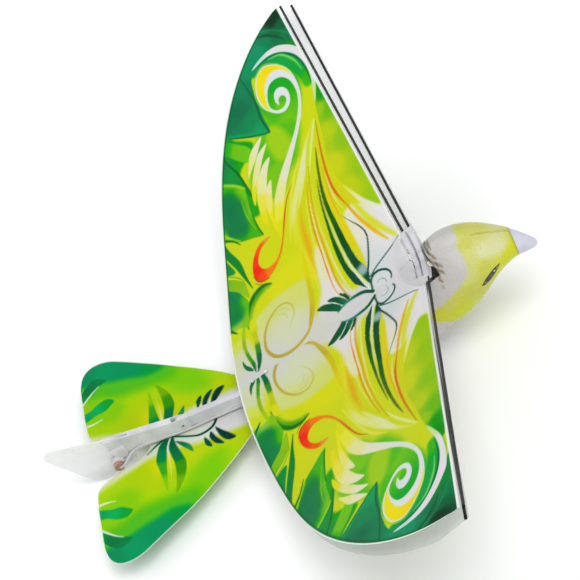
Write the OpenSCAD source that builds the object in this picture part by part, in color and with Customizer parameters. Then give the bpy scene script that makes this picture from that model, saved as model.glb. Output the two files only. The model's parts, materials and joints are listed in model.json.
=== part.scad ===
// Remote-control flapping-wing bird: a hollow bird body on a slanted keel, two crossed
// wing arms that open and close like scissors, two film wings and a film tail.
// Millimetres. +X is forward, +Y is the bird's left, +Z is up.
// The origin is the hand-launch grip on the keel, just behind the wings.

/* [Wings] */
// Reach of one film wing from the middle line
wing_reach = 211.5; // [190:0.5:225]
// Chord of the wing film at the body
root_chord = 132.4; // [120:0.1:140]
// Upward slope of the closed wings (degrees)
dihedral = 13.2; // [9:0.1:16]
// Opening of each arm from fully closed, at rest (degrees)
flap_rest = 0.8; // [0.5:0.1:3]
// Thickness of the wing and tail film
film_t = 0.3; // [0.2:0.05:0.5]
// Height of each wing film above or below the rod line
film_lift = 1.4; // [1.3:0.1:2]
// Radius of a carbon leading-edge rod
rod_r = 0.8; // [0.6:0.05:0.9]

/* [Wing hinge] */
// Forward position of the wing hinge
hinge_x = 138; // [134:0.5:142]
// Height of the wing hinge
hinge_z = 47; // [45:0.5:49]
// Nose-up tilt of the hinge axis (degrees)
hinge_tilt = 24; // [20:1:28]
// Spacing of the two wing arms along the hinge axis
arm_pitch = 4.4; // [4.2:0.1:5]
// Thickness of one wing arm along the hinge axis
arm_t = 3; // [2.4:0.1:3.2]
// Reach of the clear plastic of a wing arm
arm_reach = 21; // [18:0.5:24]

/* [Gearbox] */
// Gear module
gear_module = 0.5; // [0.5]
// Teeth of the crank gear
crank_teeth = 62; // [62]
// Teeth of the large side of the middle gear
middle_large_teeth = 20; // [20]
// Teeth of the small side of the middle gear
middle_small_teeth = 10; // [10]
// Teeth of the motor pinion
pinion_teeth = 9; // [9]
// Drop from the wing hinge to the crank gear axis
crank_drop = 19; // [18.5:0.1:19.5]
// Radius of the crank
crank_r = 2.2; // [1.8:0.1:2.4]

/* [Keel and tail] */
// Thickness of the keel beam
keel_t = 4; // [3.6:0.1:4.4]
// Thickness of the tail boom
boom_t = 4.4; // [4.2:0.1:4.8]
// Distance from the grip back to the tail hinge
tail_hinge_back = 28; // [26:0.5:30]
// Half width of the tail film
tail_half = 79.5; // [78:0.5:84]
// Distance from the grip back to the end of the tail film
tail_back = 88.5; // [88:0.5:92]

/* [Body] */
// Wall of the body shell
shell_wall = 0.8; // [0.6:0.1:1]
// Forward position of the beak's base
beak_x = 188.5; // [187:0.5:190]

/* [Hidden] */
$fn = 48;

slope = tan(dihedral);
film_colour = [0.45, 0.75, 0.1];
clear_colour = [0.88, 0.9, 0.92, 0.6];

// Root line of the wing films, in the hinge's own frame: it climbs away from the
// hinge axis towards the tail.
root_start = -1;
root_climb = 0.1265;
root_slope = atan(root_climb);
function root_height(x) = root_start + root_climb * max(0, -x);

// A point of the hinge frame, in the frame of the part
function from_hinge(x, z) = [
    hinge_x + x * cos(hinge_tilt) - z * sin(hinge_tilt),
    hinge_z + x * sin(hinge_tilt) + z * cos(hinge_tilt)
];

// Planes along the hinge axis, from the rear of the gearbox to its front
rear_plate = [-7, -5.6];
conrod_a_plane = [-5.3, -4.3];
arm_a_x = -arm_pitch / 2;
arm_b_x = arm_pitch / 2;
conrod_b_plane = [4.1, 4.9];
crank_gear_plane = [5.2, 7];
middle_large_plane = [7.4, 8.6];
front_plate = [9, 10.4];

crank_pitch_r = crank_teeth * gear_module / 2;
middle_z = -crank_drop - (crank_teeth + middle_small_teeth) * gear_module / 2;
pinion_z = middle_z + (middle_large_teeth + pinion_teeth) * gear_module / 2;
post_y = 11;
post_z = -34;
shaft_r = 1;
fit = 0.05;
lever_y = 10;
lever_z = lever_y * slope;

module hinge_frame() {
    translate([hinge_x, 0, hinge_z]) rotate([0, -hinge_tilt, 0]) children();
}

// The frame of the slanted keel: its x axis runs along the wing root line
module root_frame() {
    start = from_hinge(rear_plate[0], root_height(rear_plate[0]));
    translate([start[0], 0, start[1]]) rotate([0, root_slope - hinge_tilt, 0]) children();
}

// A flat shape drawn in the hinge frame's (y, z) plane, solid from x0 to x1
module across(x0, x1) {
    translate([x0, 0, 0]) rotate([90, 0, 90]) linear_extrude(x1 - x0) children();
}

// A round bar or hole along the hinge axis
module along_axis(r, x0, x1, y = 0, z = 0) {
    translate([x0, y, z]) rotate([0, 90, 0]) cylinder(r = r, h = x1 - x0);
}

// A flat shape drawn in the (x, z) plane of the part, solid from y0 to y1
module side_plate(y0, y1) {
    translate([0, y1, 0]) rotate([90, 0, 0]) linear_extrude(y1 - y0) children();
}

// A round bar or hole along Y
module along_y(r, y0, y1, x, z) {
    translate([x, y1, z]) rotate([90, 0, 0]) cylinder(r = r, h = y1 - y0);
}

// ---------- Films ----------

// Trailing edge of a wing film at a distance y from the middle line
function trailing_edge(y) = -root_chord * pow(max(0.0004, 1 - pow(y / wing_reach, 2)), 0.55);

// Sag of the film between the rod and its trailing edge
function film_sag(x, y) = 0.05 * max(0, -x) * exp(-pow((y - 115) / 70, 2));

// Mid surface of the stretched film, above (side 1) or below (side -1) the rods
function film_height(x, y, side) = y * slope - film_sag(x, y) + side * film_lift;

panel_in_front = 22;
panel_in_back = 66;
chord_steps = 8;
span_steps = 16;
function panel_inner(c) = panel_in_front + (panel_in_back - panel_in_front) * c;

// A point of the outer wing panel: c from leading to trailing edge, s from body to tip
function panel_point(c, s, front_x, side, t) =
    let (
        y = panel_inner(c) + (wing_reach - 0.1 - panel_inner(c)) * sin(90 * s),
        x = front_x + c * (min(trailing_edge(y), front_x - 1) - front_x)
    )
    [x, y, film_height(x, y, side) + t];

// A point of the web between the body and the outer wing panel
function web_point(c, s, side, t) =
    let (
        outer_y = panel_inner(c) - 0.4,
        outer_x = min(-5, c * trailing_edge(outer_y)),
        root_x = min(-8, c * trailing_edge(0)),
        root = [root_x, 2.4, root_height(root_x) + side * 0.5],
        outer = [outer_x, outer_y, film_height(outer_x, outer_y, side)],
        p = root + (outer - root) * s
    )
    [p[0], p[1], p[2] + t];

// A closed sheet between a lower and an upper grid of (m + 1) by (n + 1) points
module sheet(lower, upper, m, n) {
    row = n + 1;
    count = (m + 1) * row;
    top = [for (i = [0:m - 1], j = [0:n - 1])
        [count + i * row + j, count + (i + 1) * row + j,
         count + (i + 1) * row + j + 1, count + i * row + j + 1]];
    bottom = [for (i = [0:m - 1], j = [0:n - 1])
        [i * row + j, i * row + j + 1, (i + 1) * row + j + 1, (i + 1) * row + j]];
    near = [for (i = [0:m - 1])
        [i * row, (i + 1) * row, count + (i + 1) * row, count + i * row]];
    far = [for (i = [0:m - 1])
        [i * row + n, count + i * row + n, count + (i + 1) * row + n, (i + 1) * row + n]];
    first = [for (j = [0:n - 1]) [j, count + j, count + j + 1, j + 1]];
    last = [for (j = [0:n - 1])
        [m * row + j, m * row + j + 1, count + m * row + j + 1, count + m * row + j]];
    polyhedron(concat(lower, upper), concat(top, bottom, near, far, first, last));
}

// The left wing panel of an arm; front_x is where its leading edge lies
module panel(front_x, side) {
    sheet(
        [for (i = [0:chord_steps], j = [0:span_steps])
            panel_point(i / chord_steps, j / span_steps, front_x, side, -film_t / 2)],
        [for (i = [0:chord_steps], j = [0:span_steps])
            panel_point(i / chord_steps, j / span_steps, front_x, side, film_t / 2)],
        chord_steps, span_steps
    );
}

module web(side) {
    steps = 3;
    sheet(
        [for (i = [0:chord_steps], j = [0:steps])
            web_point(i / chord_steps, j / steps, side, -film_t / 2)],
        [for (i = [0:chord_steps], j = [0:steps])
            web_point(i / chord_steps, j / steps, side, film_t / 2)],
        chord_steps, steps
    );
}

// The two arms turn opposite ways about the hinge axis
module arm_a_frame() {
    hinge_frame() rotate([flap_rest, 0, 0]) children();
}

module arm_b_frame() {
    hinge_frame() rotate([-flap_rest, 0, 0]) children();
}

module right_side() {
    mirror([0, 1, 0]) children();
}

module film_upper_left() {
    color(film_colour) arm_a_frame() panel(arm_a_x + 1, 1);
}

module film_upper_right() {
    color(film_colour) arm_b_frame() right_side() panel(arm_b_x + 1, 1);
}

module film_lower_left() {
    color(clear_colour) arm_b_frame() panel(arm_b_x + 1, -1);
}

module film_lower_right() {
    color(clear_colour) arm_a_frame() right_side() panel(arm_a_x + 1, -1);
}

module root_web_upper_left() {
    color(film_colour) hinge_frame() web(1);
}

module root_web_upper_right() {
    color(film_colour) hinge_frame() right_side() web(1);
}

module root_web_lower_left() {
    color(clear_colour) hinge_frame() web(-1);
}

module root_web_lower_right() {
    color(clear_colour) hinge_frame() right_side() web(-1);
}

// ---------- Wing arms and rods ----------

rod_start = 14;

// One rod on the left side of an arm, in the arm's frame
module rod(x) {
    translate([x, 0, 0]) rotate([dihedral, 0, 0]) translate([0, rod_start, 0])
        rotate([-90, 0, 0]) cylinder(r = rod_r, h = wing_reach / cos(dihedral) - rod_start);
}

module rod_socket(x) {
    translate([x, 0, 0]) rotate([dihedral, 0, 0]) translate([0, rod_start - 0.2, 0])
        rotate([-90, 0, 0]) cylinder(r = rod_r + 0.02, h = arm_reach);
}

// Gull-shaped bar with a hub on the hinge shaft and a rod socket in each end
module wing_arm(x) {
    root_half = 2.7;
    end_half = 1.6;
    difference() {
        across(x - arm_t / 2, x + arm_t / 2) union() {
            circle(r = 4.2);
            polygon([
                [-arm_reach, arm_reach * slope - end_half],
                [-5, 5 * slope - root_half], [5, 5 * slope - root_half],
                [arm_reach, arm_reach * slope - end_half],
                [arm_reach, arm_reach * slope + end_half],
                [5, 5 * slope + root_half], [-5, 5 * slope + root_half],
                [-arm_reach, arm_reach * slope + end_half]
            ]);
        }
        along_axis(shaft_r + fit, x - arm_t, x + arm_t);
        rod_socket(x);
        right_side() rod_socket(x);
    }
}

module wing_arm_a() {
    color(clear_colour) arm_a_frame() wing_arm(arm_a_x);
}

module wing_arm_b() {
    color(clear_colour) arm_b_frame() wing_arm(arm_b_x);
}

// Short studs that the connecting rods drive. They stop just short of the rods'
// eyes, so that the arms and the crank move freely.
stud_gap = 0.1;
module arm_a_crank_pin() {
    color("silver") arm_a_frame()
        along_axis(0.6, conrod_a_plane[1] + stud_gap, arm_a_x - arm_t / 2, lever_y, lever_z);
}

module arm_b_crank_pin() {
    color("silver") arm_b_frame()
        along_axis(0.6, arm_b_x + arm_t / 2, conrod_b_plane[0] - stud_gap, -lever_y, lever_z);
}

module rod_upper_left() {
    color([0.08, 0.08, 0.09]) arm_a_frame() rod(arm_a_x);
}

module rod_lower_right() {
    color([0.08, 0.08, 0.09]) arm_a_frame() right_side() rod(arm_a_x);
}

module rod_lower_left() {
    color([0.08, 0.08, 0.09]) arm_b_frame() rod(arm_b_x);
}

module rod_upper_right() {
    color([0.08, 0.08, 0.09]) arm_b_frame() right_side() rod(arm_b_x);
}

// ---------- Gearbox ----------

// Outline of a spur gear, with one tooth centred on the +y axis when turned by 0
module gear_shape(teeth) {
    pitch_r = teeth * gear_module / 2;
    tip_r = pitch_r + 0.9 * gear_module;
    foot_r = pitch_r - 1.2 * gear_module;
    step = 360 / teeth;
    polygon([for (i = [0:teeth - 1], q = [[-0.34, foot_r], [-0.12, tip_r], [0.12, tip_r], [0.34, foot_r]])
        let (angle = (i + q[0]) * step + 90) [q[1] * cos(angle), q[1] * sin(angle)]]);
}

module gear(teeth, plane, z, turn, bore) {
    difference() {
        translate([0, 0, z]) across(plane[0], plane[1]) rotate(turn) gear_shape(teeth);
        along_axis(bore, plane[0] - 1, plane[1] + 1, 0, z);
    }
}

axle_r = 0.75;
window_count = 5;
module crank_gear() {
    window_r = 3.1;
    window_place = crank_pitch_r * 0.62;
    color([0.93, 0.9, 0.82]) hinge_frame() difference() {
        gear(crank_teeth, crank_gear_plane, -crank_drop, 180, axle_r + fit);
        along_axis(crank_pin_r, crank_gear_plane[0] - 1, crank_gear_plane[1] + 1, 0, crank_z);
        for (i = [0:window_count - 1]) {
            angle = i * 360 / window_count + 90;
            along_axis(window_r, crank_gear_plane[0] - 1, crank_gear_plane[1] + 1,
                window_place * cos(angle), window_place * sin(angle) - crank_drop);
        }
    }
}

// The crank is at its lowest point while the wings are closed
crank_z = -crank_drop - crank_r;
crank_pin_r = 0.6;
module crank_pin() {
    color([0.72, 0.5, 0.25]) hinge_frame()
        along_axis(crank_pin_r, conrod_a_plane[0] - 0.2, crank_gear_plane[0], 0, crank_z);
}

// Flat bar with an eye at the crank and an eye at the wing arm
module conrod(plane, side) {
    end_y = side * lever_y;
    length = norm([end_y, lever_z - crank_z]);
    lean = atan2(-end_y, lever_z - crank_z);
    difference() {
        across(plane[0], plane[1]) union() {
            translate([0, crank_z]) circle(r = 1.8);
            translate([end_y, lever_z]) circle(r = 1.7);
            translate([0, crank_z]) rotate(lean) translate([-0.9, 0]) square([1.8, length]);
        }
        along_axis(crank_pin_r + fit, plane[0] - 1, plane[1] + 1, 0, crank_z);
        along_axis(0.6 + fit, plane[0] - 1, plane[1] + 1, end_y, lever_z);
    }
}

module conrod_a() {
    color([0.72, 0.5, 0.25]) hinge_frame() conrod(conrod_a_plane, 1);
}

module conrod_b() {
    color([0.72, 0.5, 0.25]) hinge_frame() conrod(conrod_b_plane, -1);
}

middle_shaft_r = 0.6;
module middle_gear() {
    half_tooth = 180 / middle_small_teeth;
    color([0.93, 0.9, 0.82]) hinge_frame() {
        gear(middle_small_teeth, [crank_gear_plane[0], middle_large_plane[0]], middle_z,
            half_tooth, middle_shaft_r + fit);
        gear(middle_large_teeth, middle_large_plane, middle_z, 0, middle_shaft_r + fit);
    }
}

module middle_gear_shaft() {
    color("silver") hinge_frame()
        along_axis(middle_shaft_r, crank_gear_plane[0] - 0.3, front_plate[1], 0, middle_z);
}

module crank_axle() {
    color("silver") hinge_frame()
        along_axis(axle_r, crank_gear_plane[0] - 0.2, front_plate[1], 0, -crank_drop);
}

motor_shaft_r = 0.5;
module motor_pinion() {
    color([0.8, 0.62, 0.3]) hinge_frame()
        gear(pinion_teeth, middle_large_plane, pinion_z, 0, motor_shaft_r);
}

module motor_shaft() {
    color("silver") hinge_frame()
        along_axis(motor_shaft_r, middle_large_plane[0], front_plate[1] + 0.3, 0, pinion_z);
}

motor_r = 4;
motor_length = 16;
module drive_motor() {
    color([0.75, 0.76, 0.78]) hinge_frame() difference() {
        union() {
            along_axis(motor_r, front_plate[1], front_plate[1] + motor_length, 0, pinion_z);
            along_axis(motor_r - 1, front_plate[1], front_plate[1] + motor_length + 1, 0, pinion_z);
        }
        along_axis(motor_shaft_r + fit, front_plate[0], front_plate[1] + 1, 0, pinion_z);
    }
}

// Hub, two legs and a foot: the same outline for both gearbox plates
module plate_shape() {
    hull() {
        circle(r = 4);
        translate([0, middle_z]) circle(r = 2.6);
    }
    hull() {
        translate([-post_y, post_z]) circle(r = 2.6);
        translate([post_y, post_z]) circle(r = 2.6);
    }
}

module gearbox_rear_plate() {
    color("white") hinge_frame() difference() {
        across(rear_plate[0], rear_plate[1]) difference() {
            union() {
                plate_shape();
                translate([-3, 0]) square([6, 4]);
            }
            translate([0, -crank_drop]) circle(r = 2.2);
        }
        along_axis(shaft_r + 0.02, rear_plate[0] - 1, rear_plate[1] + 1);
    }
}

module gearbox_front_plate() {
    color("white") hinge_frame() difference() {
        across(front_plate[0], front_plate[1]) plate_shape();
        along_axis(shaft_r + 0.02, front_plate[0] - 1, front_plate[1] + 1);
        along_axis(axle_r + 0.02, front_plate[0] - 1, front_plate[1] + 1, 0, -crank_drop);
        along_axis(middle_shaft_r + 0.02, front_plate[0] - 1, front_plate[1] + 1, 0, middle_z);
        along_axis(1.4, front_plate[0] - 1, front_plate[1] + 1, 0, pinion_z);
        for (side = [-1, 1])
            along_axis(0.9, front_plate[0] - 1, front_plate[1] + 1, side * post_y, post_z);
    }
}

screw_r = 0.7;
module gearbox_posts() {
    color("white") hinge_frame() for (side = [-1, 1]) difference() {
        along_axis(1.6, rear_plate[1], front_plate[0], side * post_y, post_z);
        along_axis(screw_r + 0.02, front_plate[0] - 6.2, front_plate[0] + 1, side * post_y, post_z);
    }
}

module gearbox_screws() {
    color("silver") hinge_frame() for (side = [-1, 1]) difference() {
        union() {
            along_axis(screw_r, front_plate[0] - 6, front_plate[1] + 0.5, side * post_y, post_z);
            along_axis(1.5, front_plate[1], front_plate[1] + 1, side * post_y, post_z);
        }
        translate([front_plate[1] + 0.6, side * post_y - 1, post_z - 0.2]) cube([1, 2, 0.4]);
        translate([front_plate[1] + 0.6, side * post_y - 0.2, post_z - 1]) cube([1, 0.4, 2]);
    }
}

module hinge_shaft() {
    color("silver") hinge_frame() along_axis(shaft_r, rear_plate[0], front_plate[1] + 0.6);
}

// Clear half-round guard over the film's front edge, bent to follow both wings
cover_t = 0.8;
module hinge_cover() {
    cover_rise = 4;
    cover_flat = 3;
    cover_back = 14.5;
    cover_front = -5.7;
    cover_half = 20;
    color(clear_colour) hinge_frame() intersection() {
        across(-cover_back - 1, cover_front) polygon([
            [-cover_half, cover_rise + (cover_half - cover_flat) * slope],
            [-cover_flat, cover_rise], [cover_flat, cover_rise],
            [cover_half, cover_rise + (cover_half - cover_flat) * slope],
            [cover_half, cover_rise + cover_t + (cover_half - cover_flat) * slope],
            [cover_flat, cover_rise + cover_t], [-cover_flat, cover_rise + cover_t],
            [-cover_half, cover_rise + cover_t + (cover_half - cover_flat) * slope]
        ]);
        translate([cover_front + 3, 0, 0]) scale([1, 1.7, 1])
            cylinder(r = cover_back + cover_front + 3, h = 40);
    }
}

// ---------- Keel ----------

keel_top = -1;
keel_depth = 9;
keel_level_top = 8;
keel_level_bottom = -2.6;
keel_length = 119;
tail_hinge_z = 2.4;
tongue_r = 4.8;
tongue_t = 3.2;
tail_pin_r = 0.8;
function from_root(x, z) =
    let (
        start = from_hinge(rear_plate[0], root_height(rear_plate[0])),
        a = hinge_tilt - root_slope
    )
    [start[0] + x * cos(a) - z * sin(a), start[1] + x * sin(a) + z * cos(a)];

module keel() {
    lean = hinge_tilt - root_slope;
    plate_height = root_height(rear_plate[0]);
    front_top = from_hinge(rear_plate[0], plate_height + keel_top / cos(root_slope));
    front_bottom = from_hinge(rear_plate[0],
        plate_height + (keel_top - keel_depth) / cos(root_slope));
    bend_top = from_root(-keel_length, keel_top);
    bottom_start = from_root(0, keel_top - keel_depth);
    bend_bottom = bottom_start[0] - (bottom_start[1] - keel_level_bottom) / tan(lean);
    color([0.88, 0.88, 0.9]) difference() {
        union() {
            side_plate(-keel_t / 2, keel_t / 2) polygon([
                [-tail_hinge_back + 6, keel_level_top - 0.6], [8, keel_level_top - 1.4],
                [bend_top[0], bend_top[1]],
                [front_top[0], front_top[1]], [front_bottom[0], front_bottom[1]],
                [bend_bottom, keel_level_bottom], [-tail_hinge_back + 6, keel_level_bottom]
            ]);
            side_plate(-tongue_t / 2, tongue_t / 2) union() {
                translate([-tail_hinge_back, tail_hinge_z]) circle(r = tongue_r);
                translate([-tail_hinge_back, keel_level_bottom]) square([8, 9.6]);
            }
        }
        along_y(tail_pin_r + fit, -5, 5, -tail_hinge_back, tail_hinge_z);
        for (x = pin_places) root_frame() translate([x, 0, -6]) cylinder(r = 0.82, h = 10);
        for (x = front_stud_places)
            translate([x, 0, keel_level_bottom - 1]) cylinder(r = 0.62, h = 4);
    }
}

// Two pins that clamp the film roots to the keel
pin_places = [-116, -106];
module film_root_pins() {
    color([0.8, 0.8, 0.82]) root_frame() for (x = pin_places) translate([x, 0, 0]) {
        translate([0, 0, -5]) cylinder(r = 0.8, h = 6);
        translate([0, 0, 0.9]) cylinder(r = 1.1, h = 0.6);
    }
}

// Studs under the keel and the boom that hold the tail film up against them
front_stud_places = [-14, 6];
boom_stud_places = [-36, -46];
tail_film_z = -3.2;
tail_film_slope = 2.1;
module stud(length) {
    cylinder(r = 0.6, h = length);
    translate([0, 0, -0.7]) cylinder(r = 1.5, h = 0.7);
}

module tail_film_studs_front() {
    color([0.85, 0.85, 0.88]) for (x = front_stud_places)
        translate([x, 0, tail_film_z - 0.5]) stud(3);
}

module tail_film_studs_rear() {
    color([0.85, 0.85, 0.88]) for (x = boom_stud_places)
        translate([x, 0, tail_film_z - 0.5 - (x + tail_hinge_back) * tan(tail_film_slope)])
            stud(4);
}

// ---------- Body shell ----------

// Body sections: forward position, top, bottom, half width, and how much the
// section narrows towards its top
body_sections = [
    [28, 9, -4, 3, 0.3], [40, 14, -5.2, 5, 0.3], [55, 18.5, -6.8, 8, 0.3],
    [70, 23.5, -8, 11, 0.3], [90, 30, -9, 14, 0.3], [110, 37, -8.8, 16.5, 0.25],
    [125, 43, -7, 18, 0.2], [138, 52, -4.2, 18.5, 0.12], [150, 58.5, 0, 18.3, 0.08],
    [160, 58.5, 6, 17, 0.05], [168, 56, 13, 15.2, 0.05], [175, 52, 19, 12.8, 0.05],
    [181, 47.5, 22.3, 10.6, 0.05], [186, 43, 23.8, 8.7, 0.04], [beak_x, 40.5, 24, 7.8, 0.04]
];
ring_steps = 14;

// One point of a half section, from the belly (a = -90) to the back (a = 90),
// with its wall moved in by inset
function body_point(s, a, inset) =
    let (
        middle = (s[1] + s[2]) / 2,
        half_high = (s[1] - s[2]) / 2 - inset,
        half_wide = s[3] - inset,
        seam = 0.03
    )
    [s[0], max(seam, half_wide * cos(a) * (1 - s[4] * sin(a))), middle + half_high * sin(a)];

module shell_half() {
    last = len(body_sections) - 1;
    outer = [for (i = [0:last], j = [0:ring_steps])
        body_point(body_sections[i], -90 + 180 * j / ring_steps, 0)];
    inner = [for (i = [0:last], j = [0:ring_steps])
        body_point(body_sections[i], -90 + 180 * j / ring_steps, shell_wall)];
    difference() {
        union() {
            sheet(inner, outer, last, ring_steps);
            // lugs that hold the shell to the sides of the keel
            along_y(1.5, keel_t / 2, 9.4, 105, 28);
            along_y(1.2, keel_t / 2, 5, 52, 12);
        }
        hinge_frame() shell_opening();
    }
}

// What is cut from the shell: the room above the wing root line behind the head, in
// which the arms and the films move, and a slot round the keel
module shell_opening() {
    side_plate(-keel_t / 2 - 0.15, keel_t / 2 - 0.001) polygon([
        [-8, 60], [-8, root_height(-8) - 11], [-140, root_height(-140) - 11], [-140, 60]
    ]);
    side_plate(-30, 30) polygon([
        [front_plate[0] - 1, 60], [front_plate[0] - 1, -9.5], [-8, -9.5],
        [-24, root_height(-24) - 5], [-140, root_height(-140) - 5], [-140, 60]
    ]);
}

// Hatches in the belly for the switch and the charge socket
module belly_hatches() {
    translate([switch_x - 5.4, -2.4, -14]) cube([10.8, 4.8, 9]);
    translate([socket_x - 3.2, -2.7, -14]) cube([6.4, 5.4, 9]);
}

module shell_left() {
    color([0.85, 0.87, 0.45]) difference() {
        shell_half();
        belly_hatches();
    }
}

module shell_right() {
    color([0.85, 0.87, 0.45]) difference() {
        right_side() shell_half();
        belly_hatches();
        // way out for the tail leads
        translate([20, -10, -1.4]) cube([24, 7.9, 3.2]);
    }
}

module beak() {
    sections = [
        [beak_x, 40.2, 23.4, 7.5], [192, 36.8, 22.7, 5.9], [196, 32, 22.2, 3.9],
        [199, 28.2, 22.7, 2.1], [200.2, 26.4, 23.8, 0.8]
    ];
    n = 20;
    rings = [for (s = sections, j = [0:n - 1])
        let (a = 360 * j / n)
        [s[0], s[3] * cos(a), (s[1] + s[2]) / 2 + (s[1] - s[2]) / 2 * sin(a)]];
    sides = [for (i = [0:len(sections) - 2], j = [0:n - 1])
        [i * n + j, i * n + (j + 1) % n, (i + 1) * n + (j + 1) % n, (i + 1) * n + j]];
    back = [[for (j = [n - 1:-1:0]) j]];
    front = [[for (j = [0:n - 1]) (len(sections) - 1) * n + j]];
    color([0.8, 0.8, 0.84]) polyhedron(rings, concat(sides, back, front));
}

// ---------- Electronics ----------

switch_x = 70;
socket_x = 84;
board_y = keel_t / 2;

module circuit_board() {
    color([0.1, 0.4, 0.2]) side_plate(board_y, board_y + 0.8)
        polygon([[62, -5], [89, -5], [89, 24], [62, 16]]);
}

module battery_pad() {
    color([0.25, 0.25, 0.27]) root_frame()
        translate([-42, -4, keel_top - keel_depth - 1]) cube([26, 8, 1]);
}

module battery() {
    color([0.75, 0.77, 0.8]) root_frame()
        translate([-43, -5.5, keel_top - keel_depth - 7.5]) cube([28, 11, 6.5]);
}

module switch_housing() {
    color([0.15, 0.15, 0.16]) difference() {
        translate([switch_x - 4.5, -2, -6]) cube([9, 4, 4.5]);
        translate([switch_x - 3, -1.1, -7]) cube([6, 2.2, 3]);
    }
}

switch_travel = 2;
module switch_slider() {
    color([0.9, 0.9, 0.9]) {
        translate([switch_x - 2.6, -0.9, -5.8]) cube([3, 1.8, 1.5]);
        translate([switch_x - 1.9, -0.7, -9.2]) cube([1.6, 1.4, 3.6]);
    }
}

module charge_socket() {
    color("white") difference() {
        translate([socket_x - 2.5, -2, -8.2]) cube([5, 4, 6]);
        translate([socket_x - 1.9, -1.2, -9]) cube([3.8, 2.4, 4.8]);
    }
}

// ---------- Tail ----------

boom_end_x = -74.5;
module tail_boom() {
    color([0.88, 0.88, 0.9]) difference() {
        side_plate(-boom_t / 2, boom_t / 2) union() {
            translate([-tail_hinge_back, tail_hinge_z]) circle(r = 5.2);
            polygon([
                [-tail_hinge_back, tail_hinge_z + 5.2], [boom_end_x, 14.4], [-70.5, 2],
                [-56, -0.6], [-tail_hinge_back, tail_hinge_z - 5.2]
            ]);
        }
        // fork for the keel's tongue
        translate([-tail_hinge_back - 5.2, -tongue_t / 2 - 0.15, -6])
            cube([12, tongue_t + 0.3, 16]);
        // slot for the fin
        translate([boom_end_x - 1, -0.41, -4]) cube([16, 0.82, 22]);
        along_y(tail_pin_r, -5, 5, -tail_hinge_back, tail_hinge_z);
        for (x = boom_stud_places) translate([x, 0, -5]) cylinder(r = 0.62, h = 6.4);
    }
}

module tail_hinge_pin() {
    color("silver") along_y(tail_pin_r, -boom_t / 2 - 0.3, boom_t / 2 + 0.3,
        -tail_hinge_back, tail_hinge_z);
}

// Half of the tail film, from its front under the wings round the outer corner to the
// notch at the keel
tail_side = [
    [26, -0.5], [26, 9], [10, 24], [-6, 38], [-30, 55.7], [-48, 67], [-60, 74.3],
    [-66, tail_half - 1.9], [-71, tail_half - 0.3], [-75, tail_half], [-79.5, tail_half - 0.7],
    [-83.3, tail_half - 3.3], [-86, tail_half - 7.5], [-87.6, tail_half - 14],
    [-tail_back, 57], [-tail_back, 42], [1 - tail_back, 28], [2 - tail_back, 22],
    [5 - tail_back, 18.2], [10.5 - tail_back, 15.6], [-66, 12], [-58, 9.4], [-52.5, 4.6],
    [-50.5, -0.5]
];
module tail_lobe() {
    polygon(tail_side);
}

module tail_outline(places) {
    difference() {
        union() {
            tail_lobe();
            mirror([0, 1]) tail_lobe();
        }
        for (x = places) translate([x, 0]) circle(r = 0.95);
    }
}

module tail_film() {
    color(film_colour) translate([-tail_hinge_back, 0, tail_film_z]) rotate([0, tail_film_slope, 0])
        translate([tail_hinge_back, 0, -film_t / 2]) linear_extrude(film_t) intersection() {
            tail_outline(boom_stud_places);
            translate([-120, -100]) square([120 - tail_hinge_back - 1.5, 200]);
        }
}

module tail_film_front() {
    color(film_colour) translate([0, 0, tail_film_z - film_t / 2]) linear_extrude(film_t)
        intersection() {
            tail_outline(front_stud_places);
            translate([-tail_hinge_back - 1, -100]) square([120, 200]);
        }
}

rotor_x = -72;
rotor_z = -2.8;
tail_motor_r = 3;
module tail_fin() {
    color([0.85, 0.87, 0.88, 0.7]) difference() {
        side_plate(-0.4, 0.4) hull() {
            translate([-104.5, 18.5]) circle(r = 4.5);
            translate([-84, -4]) circle(r = 11);
            polygon([[-60.5, 11.5], [-62, -8], [-60.5, 6]]);
        }
        along_y(1, -2, 2, rotor_x, rotor_z);
    }
}

module tail_motor() {
    color([0.78, 0.78, 0.8]) difference() {
        along_y(tail_motor_r, -8, -0.6, rotor_x, rotor_z);
        along_y(0.4 + fit, -2, 0, rotor_x, rotor_z);
    }
}

module tail_motor_clip() {
    color(clear_colour) difference() {
        union() {
            along_y(tail_motor_r + 0.9, -5.4, -boom_t / 2, rotor_x, rotor_z);
            side_plate(-boom_t / 2 - 1, -boom_t / 2) polygon([
                [rotor_x + 1, rotor_z], [rotor_x - 1.5, 7], [rotor_x + 8, 7], [rotor_x + 8, 0]
            ]);
        }
        along_y(tail_motor_r + 0.02, -9, 0, rotor_x, rotor_z);
    }
}

module tail_rotor_shaft() {
    color("silver") along_y(0.4, -1.6, 5.4, rotor_x, rotor_z);
}

rotor_reach = 10;
blade_pitch = 28;
module tail_rotor() {
    color([0.9, 0.9, 0.92]) difference() {
        union() {
            along_y(1.3, 3.4, 5.2, rotor_x, rotor_z);
            for (turn = [0, 180]) translate([rotor_x, 4.3, rotor_z]) rotate([0, turn, 0])
                rotate([blade_pitch, 0, 0]) translate([0.6, -0.2, -1.5])
                    cube([rotor_reach - 0.6, 0.4, 3]);
        }
        along_y(0.4, 0, 8, rotor_x, rotor_z);
    }
}

// ---------- Leads ----------

// Points of a ring of radius r round point p of a route that runs along direction d
function ring(p, d, r, n) =
    let (
        side = cross(d, [0, 0, 1]) / norm(cross(d, [0, 0, 1])),
        up = cross(side, d)
    )
    [for (i = [0:n - 1]) p + r * (side * cos(360 * i / n) + up * sin(360 * i / n))];

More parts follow.
